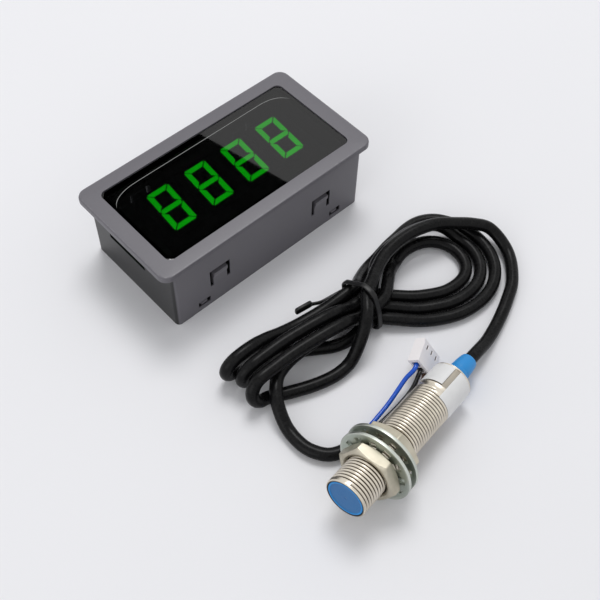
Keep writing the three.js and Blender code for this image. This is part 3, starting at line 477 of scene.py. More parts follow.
lowerAcross = [share * hank["pitch"] for share in hank["lowerShares"]]
leadAcross = hank["leadShare"] * hank["pitch"]


# The way out to a tip: place across and height at a distance from the tie.
def lowerRun(turn, reach):
    tip = hank["tipLow"][turn]
    if turn == 0:
        share = reach / hank["tipReach"][0]
        bow = hank["leadBow"] * sin(pi * min(1, share ** hank["leadBowPower"]))
        height = between(strandHigh, hank["low"], ramp(reach, hank["firstFall"]))
        return between(leadAcross, tip, share) - bow, height
    start, spread = (lowerAcross[2], "middleSpread") if turn == 1 else (lowerAcross[0], "backSpread")
    return between(start, tip, ramp(reach, hank[spread])), hank["low"]


# The way back from a tip, on top of the others.
def upperRun(turn, reach):
    across = between(upperAcross[turn], hank["tipHigh"][turn], ramp(reach, hank["upperSpread"]))
    return across, between(strandMiddle, strandHigh, ramp(reach, hank["upperRise"][turn]))


def tipPoint(turn, share):
    across = between(hank["tipLow"][turn], hank["tipHigh"][turn], smooth(share))
    along = -hank["tipReach"][turn] - hank["layer"] * sin(pi * share)
    return along, across, strandMiddle - hank["layer"] * cos(pi * share)


# The inner lobe, a drop shape that starts and ends at the tie.
def innerLobe(share):
    fromTie = min(share, 1 - share)
    along = hank["lobeReach"] * max(0, sin(pi * share)) ** hank["lobeBlunt"]
    swell = sin(2 * pi * share) * ramp(fromTie, hank["lobeEase"])
    start = upperAcross[0] if share < 0.5 else lowerAcross[0]
    width = hank["lobeTop"] if share < 0.5 else hank["lobeBottom"]
    fading = start * (1 - smooth(fromTie / hank["lobeStart"]))
    return Vector((along, width * swell + fading - hank["lobeTilt"] * along))


# The other lobes run outside it, tucked in where they cross over.
def lobePoint(turn, share):
    tuck, start, full, back, end = hank["lobeTuck"][turn]
    strands = turn - turn * tuck * (ramp(share, (start, full)) - ramp(share, (back, end)))
    nudge = hank["lobeNudge"]
    along = (innerLobe(min(1, share + nudge)) - innerLobe(max(0, share - nudge))).normalized()
    place = innerLobe(share) + Vector((-along.y, along.x)) * strands * hank["pitch"]
    falling = between(strandMiddle, hank["low"], ramp(share, hank["lobeFall"][turn]))
    return place.x, place.y, falling if share < 0.5 else hank["low"]


def hankRoute():
    points = [(0, leadAcross, strandHigh)]
    for turn in hank["turnOrder"]:
        far = hank["tipReach"][turn]
        runs = hank["runPoints"]
        for share in [step / runs for step in range(1, runs)]:
            points.append((-far * share, *lowerRun(turn, far * share)))
        points += [tipPoint(turn, step / hank["tipPoints"]) for step in range(hank["tipPoints"] + 1)]
        for share in [1 - step / runs for step in range(1, runs)]:
            points.append((-far * share, *upperRun(turn, far * share)))
        points.append((0, upperAcross[turn], strandMiddle))
        lobes = hank["lobePoints"]
        points += [lobePoint(turn, step / lobes) for step in range(1, lobes)]
        points.append((0, lowerAcross[turn], hank["low"]))
    middleX, middleY = hank["middle"]
    return [(middleX + u, middleY + v, z) for u, v, z in points]


# The tie lifts the strands that pass through it, so that its band runs under them.
def lifted(point):
    x, y, z = point
    near = 1 - smooth(abs(x - hank["middle"][0]) / hank["tieLiftReach"])
    return Vector((x, y, z + hank["tieLift"] * near))


heading, dip = radians(sensorPlace["heading"]), radians(sensorPlace["dip"])
sensorAxis = Vector((cos(dip) * cos(heading), cos(dip) * sin(heading), -sin(dip)))
sensorUp = Vector((sin(dip) * cos(heading), sin(dip) * sin(heading), cos(dip)))
sensorHeight = benchGap + sensorPlace["washerRadius"] * cos(dip) + sensorPlace["washerEnd"] * sin(dip)
sensorFace = Vector((*sensorPlace["face"], sensorHeight))
sensorTurn = Matrix((sensorUp, sensorAxis.cross(sensorUp), sensorAxis)).transposed().to_4x4()
sensorFrame = Matrix.Translation(sensorFace * mm) @ sensorTurn
exitEnd = 58.2  # where the cable comes out of its exit plug

cableLine = smoothLine(
    [
        sensorFace + sensorAxis * (exitEnd - cable["inExit"]),
        sensorFace + sensorAxis * (exitEnd + cable["outOfExit"]),
        *leadRoute, leadJoint,
        *[lifted(point) for point in [*leadOverHank, *hankRoute(), *tailOverHank]],
        tailJoint, *tailRoute, tailEnd,
    ],
    cable["step"],
)
for place in cableLine:
    place.z = max(place.z, cable["diameter"] / 2 + cable["floorGap"])
cableSheath = cordCurve("cableSheath", cableLine, cable["diameter"], cable["roundness"])
dressed(cableSheath, finishOf("cableBlack", cable), stands=("cable_lead", "cable_hank", "cable_tail"))

# Plug and the three wires

plug = {
    "middle": (6.63, -76.38),
    "heading": 27,
    "lean": 54.5,
    "length": 7.8, "width": 9, "depth": 3.6,
    "pitch": 2.5,
    "slotPlace": 2.0,  # the latch slots' middle from the plug's, towards its mating end
    "slotFloor": 1.3,
    "slotReach": (1.0, 4.3, 0.36),  # along the plug, across it and out of it
    "slotFade": 0.1,
    "color": (246, 242, 243), "second": (240, 236, 237), "hollow": (96, 90, 92),
    "grain": 2600.0, "rough": (0.36, 0.5), "bump": 0.15, "relief": 0.02,
    "edge": 0.16,
}
lean, plugTurn = radians(plug["lean"]), radians(plug["heading"])
plugAxis = Vector((cos(plugTurn), sin(plugTurn), 0))
plugRow = Vector((-plugAxis.y * cos(lean), plugAxis.x * cos(lean), sin(lean)))
plugOut = plugAxis.cross(plugRow)
plugHeight = benchGap + (abs(plugRow.z) * plug["width"] + abs(plugOut.z) * plug["depth"]) / 2
plugMiddle = Vector((*plug["middle"], plugHeight))

wire = {
    "diameter": 1.3,
    "roundness": 4,
    "spread": 0.95,
    "inSheath": 3,
    "outOfSheath": 1.6,
    "inPlug": 1.5,
    "step": 0.5,
    "grain": 3000.0, "rough": (0.16, 0.24), "specular": 0.4, "bump": 0.08, "relief": 0.01,
}
wireLooks = {
    # way in the plug, and place beside the others in the sheath
    "wireBrown": {
        "way": -1, "across": -0.866, "up": 0.5, "slot": "wire_brown", "color": (86, 52, 36), "second": (98, 62, 44),
        "route": [(-20.5, -82.5, 1.5), (-14.5, -82.9, 1.5), (-8, -82.6, 1.1), (-1.5, -81.5, 1.1)],
    },
    "wireBlack": {
        "way": 0, "across": 0, "up": -1, "slot": "wire_black", "color": (18, 17, 17), "second": (28, 26, 26),
        "route": [(-20, -81.1, 1), (-14, -81.2, 1), (-7.2, -80.8, 1.4), (-1.4, -79.9, 2.3)],
    },
    "wireBlue": {
        "way": 1, "across": 0.866, "up": 0.5, "slot": "wire_blue", "color": (12, 74, 184), "second": (18, 88, 202),
        "route": [(-20, -80.6, 2.6), (-15.4, -80, 2.9), (-10.8, -79.3, 3.3), (-6.5, -78.4, 4.1), (-2, -77.5, 5.3)],
    },
}


# The floors of the latch slots in the plug's upper face, where little light comes.
def darkenSlots(material):
    tree = material.node_tree
    middle = plugMiddle + plugAxis * plug["slotPlace"] + plugOut * plug["slotFloor"]
    fromSlots = vectorMaths(tree, "SUBTRACT", spotOf(tree), middle * mm)
    mask = 1.0
    for axis, reach in zip((plugAxis, plugRow, plugOut), plug["slotReach"]):
        aside = maths(tree, "ABSOLUTE", vectorMaths(tree, "DOT_PRODUCT", fromSlots, axis, output="Value"))
        mask = maths(tree, "MULTIPLY", mask, rescaled(tree, aside, reach * mm, (reach - plug["slotFade"]) * mm))
    recolored(material, mask, plug["hollow"])
    return material


plugMaterial = darkenSlots(finishOf("plugWhite", plug))
plugHousing = dressed(softened("connector_housing", plug["edge"], 3), plugMaterial)
terminal = {
    "color": (196, 196, 190), "second": (176, 176, 170), "grain": 4000.0, "rough": (0.2, 0.4),
    "bump": 0.2, "relief": 0.01, "metal": 1.0, "edge": 0.08,
}
tinned = finishOf("tinnedCopper", terminal)
terminals = [dressed(softened(f"crimp_terminal_{way}", terminal["edge"]), tinned) for way in (1, 2, 3)]
acrossTail = Vector((-tailDirection.y, tailDirection.x, 0))
for name, look in wireLooks.items():
    spread = (acrossTail * look["across"] + Vector((0, 0, look["up"]))) * wire["spread"]
    start = tailEnd + spread - tailDirection * wire["inSheath"]
    out = tailEnd + spread + tailDirection * wire["outOfSheath"]
    end = plugMiddle + plugAxis * (wire["inPlug"] - plug["length"] / 2) + plugRow * look["way"] * plug["pitch"]
    line = smoothLine([start, out, *look["route"], end - plugAxis * 2 * wire["inPlug"], end], wire["step"])
    piece = cordCurve(name, line, wire["diameter"], wire["roundness"])
    dressed(piece, finishOf(name, {**wire, **look}), stands=(look["slot"],))
    print(f"{name} {lengthOf(line):.1f} mm")

# Tie round the hank, with its loose end and the bar on it

tie = {
    "width": 1.6, "thickness": 0.8, "corner": 0.3,
    "gap": 0.5,
    "leadSlant": 0.6,
    "turnParts": 8,  # of the band round each strand
    "stripLength": 14.4, "stripWidth": 1.2, "stripParts": 16,
    "stripHeight": 7.6, "stripIn": 7.55, "stripTurn": 8,
    "stripSag": 2.4,  # lower than its end, behind the hank's edge
    "stripRise": (0.5, 0.95),
    "barLength": 5.6, "barHeight": 2.4, "barThickness": 1.2, "barCorner": 0.5,
    "barEnd": [(0, 0.55), (0.15, 0.82), (0.5, 1)],  # distance from the end, and share of the section there
    "color": (13, 13, 14), "second": (20, 20, 21), "grain": 2200.0, "rough": (0.3, 0.45),
    "specular": 0.3, "bump": 0.15, "relief": 0.02,
}


# The closed line round the strands, with its outward direction.
def bandPath(strands, radius):
    path = []
    for index, strand in enumerate(strands):
        before, after = strands[index - 1], strands[(index + 1) % len(strands)]
        start = atan2(strand[1] - before[1], strand[0] - before[0]) - pi / 2
        end = atan2(after[1] - strand[1], after[0] - strand[0]) - pi / 2
        while end < start:
            end += 2 * pi
        for part in range(tie["turnParts"] + 1):
            angle = between(start, end, part / tie["turnParts"])
            outward = Vector((0, cos(angle), sin(angle)))
            middle = Vector((hank["middle"][0], *strand)) + outward * radius
            path.append((middle, Vector((1, 0, 0)), outward))
    return path


def makeBand():
    strands = [
        (lowerAcross[2], hank["low"]),
        (lowerAcross[0], hank["low"]),
        (upperAcross[2], strandMiddle),
        (leadAcross + tie["leadSlant"], strandHigh),
        (leadAcross - tie["leadSlant"], strandHigh),
        (upperAcross[0], strandMiddle),
    ]
    strands = [(hank["middle"][1] + across, height + hank["tieLift"]) for across, height in strands]
    radius = cable["diameter"] / 2 + tie["gap"] + tie["thickness"] / 2
    section = roundedSection(tie["width"], tie["thickness"], tie["corner"])
    return sweptPiece("tieBand", bandPath(strands, radius), section, closed=True)


# The loose end, and the bar across its tip.
def makeStrip():
    turn = radians(tie["stripTurn"])
    away, side, up = Vector((-cos(turn), sin(turn), 0)), Vector((sin(turn), cos(turn), 0)), Vector((0, 0, 1))
    root = Vector((hank["middle"][0], hank["middle"][1] + tie["stripIn"], tie["stripHeight"]))
    path = []
    for step in range(tie["stripParts"] + 1):
        share = step / tie["stripParts"]
        sag = up * tie["stripSag"] * (1 - ramp(share, tie["stripRise"]))
        path.append((root + away * tie["stripLength"] * share - sag, side, up))
    strip = sweptPiece("tieStrip", path, roundedSection(tie["thickness"], tie["stripWidth"], tie["corner"]))
    tip = root + away * tie["stripLength"]
    ends = [(inset - tie["barLength"] / 2, size) for inset, size in tie["barEnd"]]
    ends += [(-along, size) for along, size in reversed(ends)]
    bar = [(tip + away * along, side * size, up * size) for along, size in ends]
    section = roundedSection(tie["barThickness"], tie["barHeight"], tie["barCorner"])
    return strip, sweptPiece("tieBar", bar, section)


tieMaterial = finishOf("tieBlack", tie)
for piece in (makeBand(), *makeStrip()):
    dressed(piece, tieMaterial, stands=("cable_tie",))
print("tie done")

# Sensor, in its own frame: +Z runs from the sensing face to the cable

nickel = {
    "color": (222, 214, 200), "second": (202, 194, 180), "patch": 140.0, "grain": 2400.0, "rough": (0.14, 0.3),
    "bump": 0.1, "relief": 0.01, "metal": 1.0,
    "marks": (1.0, 1.0, 14.0), "markSize": 420.0, "markTurn": tuple(sensorTurn.to_3x3().inverted().to_euler()),
    "root": (52, 42, 32), "rootShadeReach": (5.55, 5.82),  # painted shade: darker in the thread's roots and on all that lies nearer the axis
}
thread = {
    "start": 0.4, "turns": 39, "pitch": 1, "radius": 6, "depth": 0.55, "sides": 96,
    "runout": 0.8,  # turns in which the depth fades at each end
    # places along one pitch, with the share of the depth there
    "shape": [(0, 0), (0.12, 0), (0.2, 0.1), (0.42, 0.92), (0.46, 1), (0.54, 1), (0.58, 0.92), (0.8, 0.1)],
}


# The barrel with a true helix on it. The lathe profile runs from the thread's end round to its start.
def makeBarrel(name, profile):
    sides, shape = thread["sides"], thread["shape"]
    steps = len(shape)
    rows = (thread["turns"] - 1) * steps
    points, faces = [], []

    def add(radius, side, along):
        points.append(around(radius, 2 * pi * side / sides, along))
        return len(points) - 1

    def threadPoint(row, side):
        place, share = shape[row % steps]
        turns = row // steps + place + side / sides
        share *= smooth(min(turns, thread["turns"] - turns) / thread["runout"])
        return add(thread["radius"] - thread["depth"] * share, side, thread["start"] + turns * thread["pitch"])

    grid = [[threadPoint(row, side) for side in range(sides)] for row in range(rows + 1)]
    extra = [threadPoint(row, sides) for row in range(rows - steps + 1, rows + 1)]

    def corner(row, side):
        if side < sides:
            return grid[row][side]
        return grid[row + steps][0] if row + steps <= rows else extra[row + steps - rows - 1]

    for row in range(rows):
        for side in range(sides):
            faces.append((corner(row, side), corner(row, side + 1), corner(row + 1, side + 1), corner(row + 1, side)))
    rings = [[add(radius, side, along) for side in range(sides)] for radius, along in profile]
    first, last = rings[-1], rings[0]
    for side in range(sides):
        after = (side + 1) % sides
        for low, high in zip(rings, rings[1:]):
            faces.append((low[side], low[after], high[after], high[side]))
        faces.append((first[side], first[after], corner(0, side + 1), corner(0, side)))
        faces.append((corner(rows, side), corner(rows, side + 1), last[after], last[side]))
    faces.append((first[0], *[grid[row][0] for row in range(steps, 0, -1)]))
    faces.append((grid[rows][0], *extra[:-1], last[0]))
    return meshPiece(name, points, faces, sensorFrame)


threadEnd = thread["start"] + thread["turns"] * thread["pitch"]
barrelProfile = [
    (6, threadEnd), (5.8, threadEnd + 0.25), (5.8, threadEnd + 1.3), (6, threadEnd + 1.55),
    (6, 41.3), (5.7, 41.3), (5.7, 48.9), (6, 48.9), (6, 49.1), (5.7, 49.4), (3.5, 49.4), (3.5, 48.2),
    (4.9, 48.2), (4.9, 1.8), (5.35, 1.8), (5.35, 0.12), (5.47, 0), (5.66, 0), (5.86, 0.08), (5.96, 0.2), (6, 0.38),
]


# A finish with a second colour by the distance from the sensor's axis: inside the reach, or outside it
# with low and high exchanged.
def ringedFinish(name, look, color, reach, low=1, high=0):
    material = finishOf(name, look)
    tree = material.node_tree
    fromFace = vectorMaths(tree, "SUBTRACT", spotOf(tree), sensorFace * mm)
    across = vectorMaths(tree, "CROSS_PRODUCT", fromFace, sensorAxis)
    radius = vectorMaths(tree, "LENGTH", across, output="Value")
    recolored(material, rescaled(tree, radius, reach[0] * mm, reach[1] * mm, low, high), color)
    return material


# Painted shade in the thread's roots and on the barrel's inner faces.
nickelMaterial = ringedFinish("nickelPlate", nickel, nickel["root"], nickel["rootShadeReach"])
barrel = roundEdges(makeBarrel("sensorBarrel", barrelProfile), 0)
dressed(barrel, nickelMaterial, stands=("sensor_barrel",))

# The face's raised rim is a brighter blue than its plate.
sensingFace = {
    "color": (40, 100, 156), "second": (46, 108, 164), "rim": (36, 134, 204), "rimReach": (4.7, 4.85),
    "grain": 1800.0, "rough": (0.4, 0.54), "specular": 0.3, "bump": 0.25, "relief": 0.03,
    "sides": 72,
    "profile": [
        (0.001, 1.4), (5.0, 1.4), (5.3, 1.3), (5.3, 0.14), (5.25, 0.04), (5.15, 0), (4.95, 0), (4.86, 0.04),
        (4.8, 0.14), (4.72, 0.2), (3, 0.17), (1.5, 0.155), (0.6, 0.15), (0.001, 0.15),
    ],
}
exitPlug = {
    "color": (36, 134, 204), "second": (44, 144, 214), "grain": 1500.0, "rough": (0.34, 0.46),
    "specular": 0.35, "bump": 0.2, "relief": 0.03,
    "sides": 64,
    "profile": [
        (0.001, 46.5), (4.5, 46.5), (4.5, 47.9), (3.15, 47.9), (3.15, 49.45), (3.13, 50.6), (3.02, 50.75),
        (3.02, 51.0), (3.1, 51.15), (3.02, 52.6), (2.9, 52.75), (2.9, 53.0), (2.98, 53.15), (2.84, 55.6),
        (2.6, 57.6), (2.48, 58.05), (2.3, 58.2), (2.05, 58.2), (1.96, 58.05), (1.94, 57), (0.001, 57),
    ],
}
faceMaterial = ringedFinish("sensingBlue", sensingFace, sensingFace["rim"], sensingFace["rimReach"], 0, 1)
for name, look, material, slot, node in (
    ("sensingFace", sensingFace, faceMaterial, "sensor_blue", "sensing_face"),
    ("cableExit", exitPlug, finishOf("exitBlue", exitPlug), "exit_blue", "cable_exit"),
):
    piece = turnedPiece(name, look["profile"], look["sides"], sensorFrame)
    dressed(roundEdges(piece, 0), material, stands=(node,))

label = {
    "inner": 5.95, "outer": 6.12,
    "start": 41.6, "end": 48.6,
    "opening": 16, "turn": 10,
    "parts": 96,
    "flapStart": 37.8,  # the free end's lower corner, over the thread
    "flapParts": 24,
    "thin": (0.5, 0.85, 1),  # share of the thickness from the free edges inwards
    "corner": 0.02,
    "color": (226, 226, 226), "second": (216, 216, 216), "patch": 120.0, "grain": 5000.0, "rough": (0.38, 0.52),
    "bump": 0.15, "relief": 0.01, "coat": 0.25, "coatRough": 0.2,
}


# A sheet wrapped nearly all the way round, its free edges thinned.
def makeLabel():
    first = radians(label["turn"] + label["opening"] / 2)
    last = radians(label["turn"] - label["opening"] / 2) + 2 * pi
    path = []
    for step in range(label["parts"] + 1):
        outward = Vector(around(1, between(first, last, step / label["parts"])))
        thin = label["thin"][min(step, label["parts"] - step, 2)]
        start = label["flapStart"] if step < label["flapParts"] else label["start"]
        middle = outward * (label["inner"] + label["outer"]) / 2 + Vector((0, 0, (start + label["end"]) / 2))
        path.append((middle, outward * thin, Vector((0, 0, label["end"] - start))))
    section = roundedSection(label["outer"] - label["inner"], 1, label["corner"], 3)
    return sweptPiece("sensorLabel", path, section, place=sensorFrame)


dressed(roundEdges(makeLabel(), 0), finishOf("labelWhite", label), stands=("sensor_label",))

# Nuts and toothed washers

nut = {
    "across": 15.5, "thickness": 3.8, "bore": 6.2, "boreChamfer": 0.6, "face": 7.4, "sides": 144,
    "chamfer": 30, "chamferBow": 0.42,  # share of its depth halfway out
    "edge": 0.14, "edgeAngle": 18,
}
washer = {
    "radius": 10.8, "thickness": 0.9, "inner": 9.3, "tip": 6.6, "teeth": 12, "rootAngle": 8, "tipAngle": 6,
    "twist": 12,  # degrees, each tooth's lean
    "plain": 0.05,  # of a tooth beside the ring, which doesn't lean
    "sides": 120,
    "edge": 0.22,
}


def nutPiece(name, place, turn):
    end = place + nut["thickness"]
    rows = [[] for row in range(10)]
    for side in range(nut["sides"]):
        angle = 2 * pi * side / nut["sides"]
        corner = nut["across"] / 2 / cos(angle % (pi / 3) - pi / 6)
        drop = (corner - nut["face"]) * tan(radians(nut["chamfer"]))
        half = [
            (nut["bore"], nut["boreChamfer"]), (nut["bore"] + nut["boreChamfer"], 0), (nut["face"], 0),
            (between(nut["face"], corner, 0.5), drop * nut["chamferBow"]), (corner, drop),
        ]
        outline = [(radius, place + along) for radius, along in half]
        outline += [(radius, end - along) for radius, along in reversed(half)]
        for row, (radius, along) in zip(rows, outline):
            row.append(around(radius, angle + radians(turn), along))
    points = [point for row in rows for point in row]
    piece = meshPiece(name, points, ringFaces(len(rows), nut["sides"], True), sensorFrame)
    return roundEdges(piece, nut["edge"], angle=nut["edgeAngle"])


# A washer's inner outline, from one tooth to the next.
def toothedOutline(place):
    middle, root, tip = between(washer["inner"], washer["tip"], 0.5), washer["rootAngle"], washer["tipAngle"]
    flanks = [
        (washer["inner"], -root), (middle, -(root + tip) / 2),
        (washer["tip"], -tip), (washer["tip"], 0), (washer["tip"], tip),
        (middle, (root + tip) / 2), (washer["inner"], root), (washer["inner"], 180 / washer["teeth"]),
    ]
    turns = [tooth * 360 / washer["teeth"] for tooth in range(washer["teeth"])]
    return [around(radius, radians(turn + offset), place) for turn in turns for radius, offset in flanks]


# A washer lies lower than the axis by the play it has on the barrel.
def washerPiece(name, place, low):
    made = bmesh.new()
    sides = washer["sides"]
    outer = [around(washer["radius"], 2 * pi * side / sides, place) for side in range(sides)]
    loops = []
    for outline in (outer, toothedOutline(place)):
        corners = [made.verts.new(Vector(point) * mm) for point in outline]
        loops += [made.edges.new((a, b)) for a, b in zip(corners, corners[1:] + corners[:1])]
    bmesh.ops.triangle_fill(made, edges=loops, use_beauty=True)
    extruded = bmesh.ops.extrude_face_region(made, geom=made.faces[:])
    lifts = [item for item in extruded["geom"] if isinstance(item, bmesh.types.BMVert)]
    bmesh.ops.translate(made, verts=lifts, vec=(0, 0, washer["thickness"] * mm))
    bmesh.ops.recalc_face_normals(made, faces=made.faces)
    bmesh.ops.dissolve_limit(made, angle_limit=radians(1), verts=made.verts, edges=made.edges)
    step = 2 * pi / washer["teeth"]
    for vert in made.verts:
        radius = vert.co.xy.length / mm
        if radius < washer["inner"] - washer["plain"]:
            across = (atan2(vert.co.y, vert.co.x) + step / 2) % step - step / 2
            share = (washer["inner"] - radius) / (washer["inner"] - washer["tip"])
            vert.co.z += radius * across * tan(radians(washer["twist"])) * share * mm
    piece = meshFrom(name, made, sensorFrame @ Matrix.Translation((-low * mm, 0, 0)))
    return roundEdges(piece, washer["edge"], 3)


zinc = {
    **nickel, "color": (202, 206, 198), "second": (178, 184, 176), "rough": (0.22, 0.38), "marks": (3.0, 1.0, 1.0),
    # painted shade: inside this reach the washers are darker, over their inner parts and teeth
    "dull": (168, 176, 166), "paintedShadeReach": (9.9, 10.5),
}
nutLook = {
    **nickel, "color": (192, 186, 170), "second": (172, 166, 150), "rough": (0.3, 0.42), "marks": (1.0, 1.0, 6.0),
}
# The washers' inner parts and teeth get a painted shade.
zincMaterial = ringedFinish("washerZinc", zinc, zinc["dull"], zinc["paintedShadeReach"])
nutMaterial = finishOf("nutNickel", nutLook)
# place along the axis, and a nut's turn or a washer's drop
for name, make, place, value, material, node in (
    ("frontNut", nutPiece, 8.4, 30, nutMaterial, "front_nut"),
    ("rearNut", nutPiece, 16.7, 12, nutMaterial, "rear_nut"),
    ("frontWasher", washerPiece, 12.5, 0.35, zincMaterial, "front_washer"),
    ("rearWasher", washerPiece, 15.5, 0, zincMaterial, "rear_washer"),
):
    dressed(make(name, place, value), material, node, (node,))

# What is inside the sensor, and in the same materials inside the meter

innerBoard = {
    "color": (34, 96, 54), "second": (40, 108, 62), "grain": 1500.0, "rough": (0.3, 0.5),
    "bump": 0.2, "relief": 0.03, "coat": 0.4,
}
blackEpoxy = {
    "color": (24, 25, 27), "second": (32, 33, 35), "grain": 2600.0, "rough": (0.45, 0.62),
    "bump": 0.3, "relief": 0.03,
}
boardMaterial, epoxyMaterial = finishOf("boardGreen", innerBoard), finishOf("componentBlack", blackEpoxy)


# CAD nodes as they are, with rounded edges.
def dressNodes(widths, material):
    for node, width in widths.items():
        dressed(softened(node, width), material)


dressNodes({"hall_element": 0.12}, epoxyMaterial)
dressNodes({"sensor_board": 0.05}, boardMaterial)
print("sensor done")

# Meter case

casePlastic = {
    "color": (99, 97, 103), "second": (96, 94, 100), "patch": 30.0, "grain": 6500.0, "detail": 2.0,
    "rough": (0.33, 0.4), "specular": 0.4, "bump": 0.22, "relief": 0.012,
    "wear": 0.3, "worn": (140, 138, 143), "dust": 0.015,
    "inside": (20, 20, 21),
    "insideReach": (0.2, 0.5),  # below the outer faces of the walls
    "tongueStands": 0.5,  # out of the wall
    "bezelDepth": (2.4, 2.6),
    "edge": 0.28, "coverEdge": 0.15, "tongueEdge": 0.06,
    "tongueRoot": 0.34,  # how far a tongue's root runs down, to meet the wall
    "rootHeight": 0.1,
    "hookPlace": 26.1,
    "catchDepth": 0.3,
    "catchWidth": 0.6,  # a hook's catch is narrower than in the solid, and reaches further out
    "catchReach": 0.5,
}
caseMaterial, coverMaterial, tongueMaterial = [
    finishOf(name, casePlastic) for name in ("casePlastic", "coverPlastic", "tonguePlastic")
]


# In the shade behind the long walls' outer faces the plastic is dark.
def darkenInside(material):
    tree = material.node_tree
    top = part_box("front_case")[1].z
    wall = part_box("snap_tongue_back_left")[1].y / mm - casePlastic["tongueStands"]
    aside = maths(tree, "ABSOLUTE", addNode(tree, "SeparateXYZ", {0: spotOf(tree)}).outputs["Y"])
    inside = rescaled(tree, aside, *[(wall - reach) * mm for reach in casePlastic["insideReach"]])
    height = addNode(tree, "SeparateXYZ", {0: spotOf(tree)}).outputs["Z"]
    below = rescaled(tree, height, *[top - depth * mm for depth in casePlastic["bezelDepth"]])
    recolored(material, maths(tree, "MULTIPLY", inside, below), casePlastic["inside"])


def rearCover():
    piece = softened("rear_cover", casePlastic["coverEdge"])
    reach = max(vertex.co.y for vertex in piece.data.vertices)
    for vertex in piece.data.vertices:
        place = vertex.co
        if abs(place.y) > reach - casePlastic["catchDepth"] * mm:
            middle = casePlastic["hookPlace"] * mm * (1 if place.x > 0 else -1)
            place.x = middle + (place.x - middle) * casePlastic["catchWidth"]
            place.y += casePlastic["catchReach"] * mm * (1 if place.y > 0 else -1)
    return piece


# A tongue with its root at the wall, so that its slot is open at the sides and the top only.
def snapTongue(node):
    piece = softened(node, casePlastic["tongueEdge"])
    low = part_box(node)[0].z
    for vertex in piece.data.vertices:
        if vertex.co.z < low + casePlastic["rootHeight"] * mm:
            vertex.co.z -= casePlastic["tongueRoot"] * mm
    return piece


darkenInside(caseMaterial)
dressed(softened("front_case", casePlastic["edge"], 3, 25), caseMaterial)
dressed(rearCover(), coverMaterial)
for node in [f"snap_tongue_{sideY}_{sideX}" for sideY in ("front", "back") for sideX in ("left", "right")]:
    dressed(snapTongue(node), tongueMaterial, node)

# Smoked window, with the thin line printed along its upper edge

window = {
    "tint": (54, 56, 56), "second": (57, 59, 59), "patch": 40.0,
    "rough": (0.016, 0.024), "grain": 60.0, "detail": 2.0,
    "ior": 1.49,
    "edge": 0.28,
}
printed = {
    "width": 0.2, "height": 0.02, "corner": 0.008,
    "taper": 4,  # steps in which each end widens
    "tipShare": 0.25,  # of the width, at the tips
    "route": [
        (-33.3, 8.9), (-32.3, 10.3), (-31, 11.4), (-29.1, 12.25), (-27, 12.8), (-24.8, 13.05), (-20, 13.12),
        (-10, 13.14), (0, 13.16), (10, 13.18), (20, 13.2), (25.9, 13.1), (28.6, 12.5), (31, 11.2), (32.8, 9.2),
    ],
    "color": (122, 123, 122), "second": (112, 113, 112), "grain": 6000.0, "rough": (0.4, 0.55),
    "bump": 0.1, "relief": 0.005,
}


def makeWindowMaterial():
    material, tree, shader = newMaterial("smokedAcrylic")
    tones = {"Color": shade(*window["tint"]), "Second": shade(*window["second"]), "Size": window["patch"]}
    grain = grouped(tree, grainGroup, {"Size": window["grain"], "Detail": window["detail"]}, "Height")
    fed(tree, shader, {
        "Base Color": grouped(tree, mottleGroup, tones, "Color"),
        "Roughness": rescaled(tree, grain, *effects["roughEnds"], *window["rough"]),
        "Transmission Weight": 1,
        "IOR": window["ior"],
    })
    return material


def makePrintedLine():
    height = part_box("display_window")[1].z / mm + printed["height"] / 2
    line = smoothLine([(x, y, height) for x, y in printed["route"]], 1)
    last = len(line) - 1
    path = []
    for index, place in enumerate(line):
        along = (line[min(index + 1, last)] - line[max(index - 1, 0)]).normalized()
        ends = min(1, min(index, last - index) / printed["taper"] + printed["tipShare"])
        path.append((place, Vector((-along.y, along.x, 0)) * ends, Vector((0, 0, 1))))
    return sweptPiece("printedLine", path, roundedSection(printed["width"], printed["height"], printed["corner"], 2))


dressed(softened("display_window", window["edge"], 3), makeWindowMaterial())
dressed(roundEdges(makePrintedLine(), 0), finishOf("printedGrey", printed))

# Display module and digits

display = {
    "color": (8, 9, 8), "second": (12, 13, 12), "grain": 4200.0, "rough": (0.5, 0.66),
    "specular": 0.12, "bump": 0.3, "relief": 0.02,
    "edge": 0.2,
    "pitch": 13.7,
    "plate": (13.4, 17.8, 0.4), "plateTop": 23.1,
    "barTop": 23.3, "barSink": 0.05, "barEdge": 0.05,
    "digitWidth": 7.75, "digitHeight": 15.5,
    "digitPlace": 0.35,  # from the middle, along Y
    "slant": 4.8,
    "bar": 1.6, "barGap": 0.25, "cornerCut": 0.3, "tipGap": 0.08,
}
litSegment = {
    **display, "color": (10, 120, 14), "second": (14, 130, 18), "rough": (0.3, 0.45),
    "glow": (0.002, 0.5, 0.004, 1.0), "glowStrength": 12.5,
}


# Bars with slanting ends that meet in thin dark gaps, as outlines.
def digitBars():
    across, up = display["digitWidth"] / 2, display["digitHeight"] / 2
    bar, gap, cut = display["bar"], display["barGap"], display["cornerCut"]
    outer, inner = across - gap, across - gap - bar
    top = [
        (-outer + cut, up), (outer - cut, up), (outer - cut / 2, up - cut / 2), (inner, up - bar),
        (-inner, up - bar), (-outer + cut / 2, up - cut / 2),
    ]
    half, tip = bar / 2, across - display["tipGap"]
    middle = [
        (tip - cut, cut), (tip - half, half), (half - tip, half), (cut - tip, cut),
        (cut - tip, -cut), (half - tip, -half), (tip - half, -half), (tip - cut, -cut),
    ]
    side = [
        (across, gap + cut / 2), (across, up - gap - cut), (across - cut / 2, up - gap - cut / 2),
        (across - bar, up - gap - bar), (across - bar, gap + bar), (across - cut / 2, gap + cut / 2),
    ]
    bars = [top, [(x, -y) for x, y in top], middle]
    for signX in (1, -1):
        for signY in (1, -1):
            bars.append([(x * signX, y * signY) for x, y in side])
    return bars


